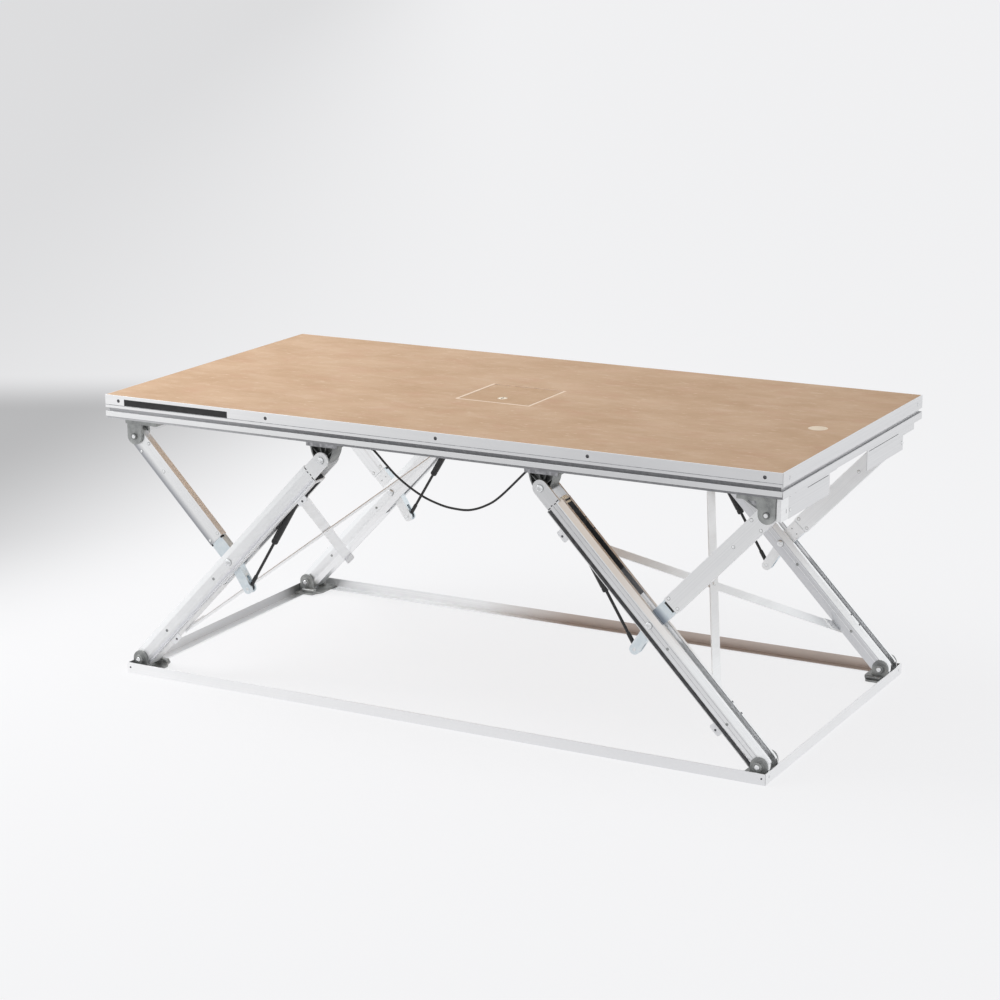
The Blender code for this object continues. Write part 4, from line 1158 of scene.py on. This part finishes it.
def workBoard():
    piece = made["deck_board"]
    hole = boardWork["hole"]
    edge = hole + boardWork["band"]
    startEdit(piece)
    for axis, at in ((0, -edge), (0, edge), (1, -edge), (1, hole)):
        point, normal = Vector((0, 0, boardWork["top"])), Vector((0, 0, 0))
        point[axis], normal[axis] = at, 1.0
        selectFaces(piece, lambda middle, facingTo: facingTo.z > 0.95 and middle.z > boardWork["topSkin"])
        bpy.ops.mesh.bisect(plane_co=point, plane_no=normal)
    endEdit()
    onTop = lambda middle, normal: normal.z > 0.3 and middle.z > boardWork["rimLow"]
    onBack = lambda middle, normal: normal.y < -0.3 and middle.y > boardWork["backEdge"]
    # the pale band round the hatch is wear; the hole's back wall takes it as painted light over its shade
    paintFaces(piece, finishes["rimWearAndLight"], lambda middle, normal: abs(middle.x) < edge and -edge < middle.y < hole + 0.001
               and (onTop(middle, normal) or onBack(middle, normal)))
    paintFaces(piece, finishes["undersideLight"],  # painted light: the underside is paler, standing in for light thrown up from the floor
               lambda middle, normal: normal.z < -0.9 and middle.z < boardWork["under"])
    plug, deep, sides = boardWork["plugRadius"], boardWork["plugDepth"], boardWork["plugSides"]
    cutWith(piece, turned("pocket", [(-deep, plug), (0.002, plug)], sides,
                          facing((*boardWork["plugPlace"], boardWork["top"]), (0, 0, 1))))
    disc = turned("round_plug", [(-0.0005, plug - 0.0003), (0.0001, plug - 0.0003), (0.0004, plug - 0.0009),
                                 (0.0004, plug - 0.0075), (0.0001, plug - 0.0080), (0.0001, plug - 0.0120),
                                 (0.0004, plug - 0.0125)], sides,
                  facing((*boardWork["plugPlace"], boardWork["top"] - deep + 0.0001), (0, 0, 1)))
    dress(disc, "deck", finishes["plug"])


workBoard()
print("board worked")

# Hatch lock: a bright bezel let into the lid, and a key slot cut in painted shadow
lockWork = {"place": (0.0, -0.053), "top": 0.8, "inner": 0.0124, "outer": 0.0138, "play": 0.0002, "depth": 0.0012,
            "slot": (0.0036, 0.0140, 0.0016), "edge": 0.0004, "sides": 48}


def workLock():
    at, deep, sides = Vector((*lockWork["place"], lockWork["top"])), lockWork["depth"], lockWork["sides"]
    wide = lockWork["outer"] + lockWork["play"]
    cutWith(made["hatch_lid"], turned("pocket", [(-deep, wide), (0.002, wide)], sides, facing(at, (0, 0, 1))))
    cutWith(made["hatch_lock"], boxAt("slot", lockWork["slot"], at), finishes["shadow"])
    bezel = ringAt("lock_bezel", lockWork["outer"], lockWork["inner"], deep / 2,
                   Matrix.Translation(at - Vector((0, 0, deep / 2 + 0.0001))), sides, lockWork["edge"])
    dress(bezel, "hatch", finishes["brass"])


workLock()
print("lock worked")

# Fasteners: modelled once for each kind, then copied to their places
fastenerShapes = {
    "rivet": [(-0.0004, 0.0040), (0.0004, 0.0040), (0.0013, 0.0034), (0.0018, 0.0023), (0.0020, 0.0011)],
    "legRivet": [(-0.0004, 0.0042), (0.0003, 0.0042), (0.0009, 0.0036), (0.0009, 0.0022), (0.0002, 0.0019)],
    "tabRivet": [(-0.0004, 0.0032), (0.0003, 0.0032), (0.0009, 0.0025), (0.0012, 0.0012)],
    "smallRivet": [(-0.0003, 0.0030), (0.0003, 0.0030), (0.0009, 0.0024), (0.0012, 0.0012)],
    "rivetSeat": [(-0.0003, 0.0049), (0.0002, 0.0049), (0.0003, 0.0044)],
    "screw": [(-0.0003, 0.0043), (0.0005, 0.0043), (0.0009, 0.0037), (0.0009, 0.0020), (0.0002, 0.0018)],
    "cap": [(-0.0002, 0.0094), (0.0034, 0.0094), (0.0046, 0.0086), (0.0054, 0.0066), (0.0059, 0.0034)],
    "capSeat": [(-0.0002, 0.0104), (0.0004, 0.0104), (0.0005, 0.0100)],
    "pin": [(-0.0002, 0.0052), (0.0005, 0.0052), (0.0009, 0.0045), (0.0009, 0.0022), (0.0004, 0.0019)],
    "hubPin": [(-0.0003, 0.0056), (0.0008, 0.0056), (0.0014, 0.0050), (0.0016, 0.0024)],
    "collar": [(0.0001, 0.0146), (0.0014, 0.0146), (0.0018, 0.0140), (0.0018, 0.0122), (0.0078, 0.0122),
               (0.0084, 0.0116), (0.0086, 0.0100)],
    "boltEnd": [(-0.0002, 0.0066), (0.0018, 0.0066), (0.0026, 0.0058), (0.0028, 0.0030), (0.0022, 0.0026)]}
fastenerFinish = {"rivet": "pale", "flatRivet": "pale", "hubPin": "pale", "legRivet": "cast", "rivetSeat": "cast",
                  "capSeat": "cast", "dot": "cast", "collar": "castMid", "tabRivet": "darkSteel",
                  "smallRivet": "darkSteel", "screw": "darkSteel", "barScrew": "darkSteel"}  # the rest are bright steel


# The same profile, lower or narrower
def scaledShape(kind, tall, wide):
    return [(tall * height, wide * radius) for height, radius in fastenerShapes[kind]]


fastenerShapes.update(flatRivet=scaledShape("rivet", 0.45, 1), dot=scaledShape("tabRivet", 0.5, 0.6),
                      paleScrew=scaledShape("screw", 1, 1), barScrew=scaledShape("screw", 1, 0.62))
for (body, kind), places in sorted(fasteners.items()):
    small = kind.lower().endswith(("rivet", "screw", "pin"))
    source = turned(kind, fastenerShapes[kind], 14 if small else 24)
    group = joinPieces(copiesAt(source, places), f"{body}_{kind}s")
    dress(group, body, finishes[fastenerFinish.get(kind, "steel")], angle=40)
print("fasteners set:", sum(len(places) for places in fasteners.values()))

for node, piece in made.items():
    dress(piece, rideOf[node], stands=(node,))
print("pieces dressed")


# Floor and light
studio = {"floorSize": (80.0, 80.0, 1), "floorAt": (0, 0, -0.0004), "floorTone": 0.945, "leftShadeTone": 0.50, "lift": 0.82,
          "shadeCentre": (-3.2, 1.6, 0), "shadeReach": (1.4, 3.0), "farShade": 0.36,
          "nearWay": (-0.976, -0.217, 0), "nearReach": (1.15, 2.75),
          "sideWay": (-0.879, -0.476, 0), "sideReach": (-0.2, 3.4),
          "depthWay": (-0.476, 0.879, 0), "depthReach": (3.45, 4.25),
          "cardSize": (6.4, 4.0, 1), "cardAt": (0.4, -3.2, 0.001), "cardLeft": 0.92, "cardDark": 0.55,
          "cardRise": (-2.4, -0.6), "cardFall": (-0.6, 0.1), "cardKeep": 0.4,
          "sky": (0.98, 0.99, 1.0, 1.0), "world": 0.58, "worldGloss": 0.42, "worldSeen": 0.34,
          "lampFrom": (-2.8, -0.7, 3.1), "lampAim": (-0.5, 0.0, 0.6), "lampSize": 2.6, "lampPower": 86.0}


# Pale where the camera or a reflection sees it, whatever light falls there
def addGlow(tree, shader, color, level):
    glow = addNode(tree, "ShaderNodeEmission", {"Strength": 1.0})
    tree.links.new(color, glow.inputs["Color"])
    rays = addNode(tree, "ShaderNodeLightPath")
    seen = mathNode(tree, "MAXIMUM", rays.outputs["Is Camera Ray"], rays.outputs["Is Glossy Ray"])
    mix = addNode(tree, "ShaderNodeMixShader")
    tree.links.new(mathNode(tree, "MULTIPLY", seen, level), mix.inputs[0])
    tree.links.new(shader.outputs["BSDF"], mix.inputs[1])
    tree.links.new(glow.outputs["Emission"], mix.inputs[2])
    tree.links.new(mix.outputs["Shader"], tree.nodes["Material Output"].inputs["Surface"])


# Pale floor with painted shade: a grey pool to the left, and greyer far off to the left
def floorFinish():
    finish, tree, shader = newFinish("studio_floor", 0.9, 0.0)
    shader.inputs["Specular IOR Level"].default_value = 0.0

    def reached(way):
        along = measured(tree, "DOT_PRODUCT", studio[way + "Way"])
        return remap(tree, along, *studio[way + "Reach"], kind="SMOOTHSTEP")
    away = measured(tree, "DISTANCE", studio["shadeCentre"])
    inside = remap(tree, away, *studio["shadeReach"], 1.0, 0.0, "SMOOTHSTEP")
    near = mathNode(tree, "MULTIPLY", reached("near"), inside)
    side = remap(tree, reached("side"), 0.0, 1.0, 0.0, studio["farShade"])
    shaded = addNode(tree, "ShaderNodeMix", data_type="FLOAT")
    for socket, value in ((0, reached("depth")), (2, near), (3, side)):
        tree.links.new(value, shaded.inputs[socket])
    tone, left = studio["floorTone"], studio["leftShadeTone"]
    color = blendColor(tree, shaded.outputs[0], (tone, tone, tone * 1.012), (left, left, left * 1.012))
    tree.links.new(color, shader.inputs["Base Color"])
    addGlow(tree, shader, color, studio["lift"])
    return finish


# A grey card on the floor in front, seen only in reflections
def cardFinish():
    finish, tree, shader = newFinish("studio_card", 0.9, 0.0)
    shader.inputs["Specular IOR Level"].default_value = 0.0
    along = measured(tree, "DOT_PRODUCT", (1, 0, 0))
    share = mathNode(tree, "MULTIPLY", remap(tree, along, *studio["cardRise"]),
                     remap(tree, along, *studio["cardFall"], 1.0, studio["cardKeep"]))
    left, dark = studio["cardLeft"], studio["cardDark"]
    color = blendColor(tree, share, (left, left, left), (dark, dark, dark * 1.02))
    tree.links.new(color, shader.inputs["Base Color"])
    addGlow(tree, shader, color, 1.0)
    return finish


def stagePlane(name, size, location, finish):
    bpy.ops.object.select_all(action="DESELECT")
    bpy.ops.mesh.primitive_plane_add(size=1, location=location)
    plane = bpy.context.object
    plane.name = name
    plane.scale = size
    applyPlace(plane)
    plane.data.materials.append(finish)
    return plane


def addStudio():
    floor = stagePlane("floor", studio["floorSize"], studio["floorAt"], floorFinish())
    card = stagePlane("grey_card", studio["cardSize"], studio["cardAt"], cardFinish())
    card.visible_camera = card.visible_diffuse = card.visible_shadow = False
    world = bpy.data.worlds.new("studio")
    scene.world = world
    world.use_nodes = True
    tree = world.node_tree
    sky = tree.nodes["Background"]
    sky.inputs["Color"].default_value = studio["sky"]
    rays = addNode(tree, "ShaderNodeLightPath")
    level = mathNode(tree, "MULTIPLY_ADD", rays.outputs["Is Glossy Ray"], studio["worldGloss"], studio["world"])
    seen = mathNode(tree, "MULTIPLY_ADD", rays.outputs["Is Camera Ray"], studio["worldSeen"], level)
    tree.links.new(seen, sky.inputs["Strength"])
    bpy.ops.object.light_add(type="AREA", location=studio["lampFrom"])
    lamp = bpy.context.object
    lamp.data.energy = studio["lampPower"]
    lamp.data.size = studio["lampSize"]
    lamp.visible_camera = False
    lamp.rotation_euler = (Vector(studio["lampAim"]) - Vector(studio["lampFrom"])).to_track_quat("-Z", "Y").to_euler()


addStudio()
scene.view_settings.view_transform = "Standard"
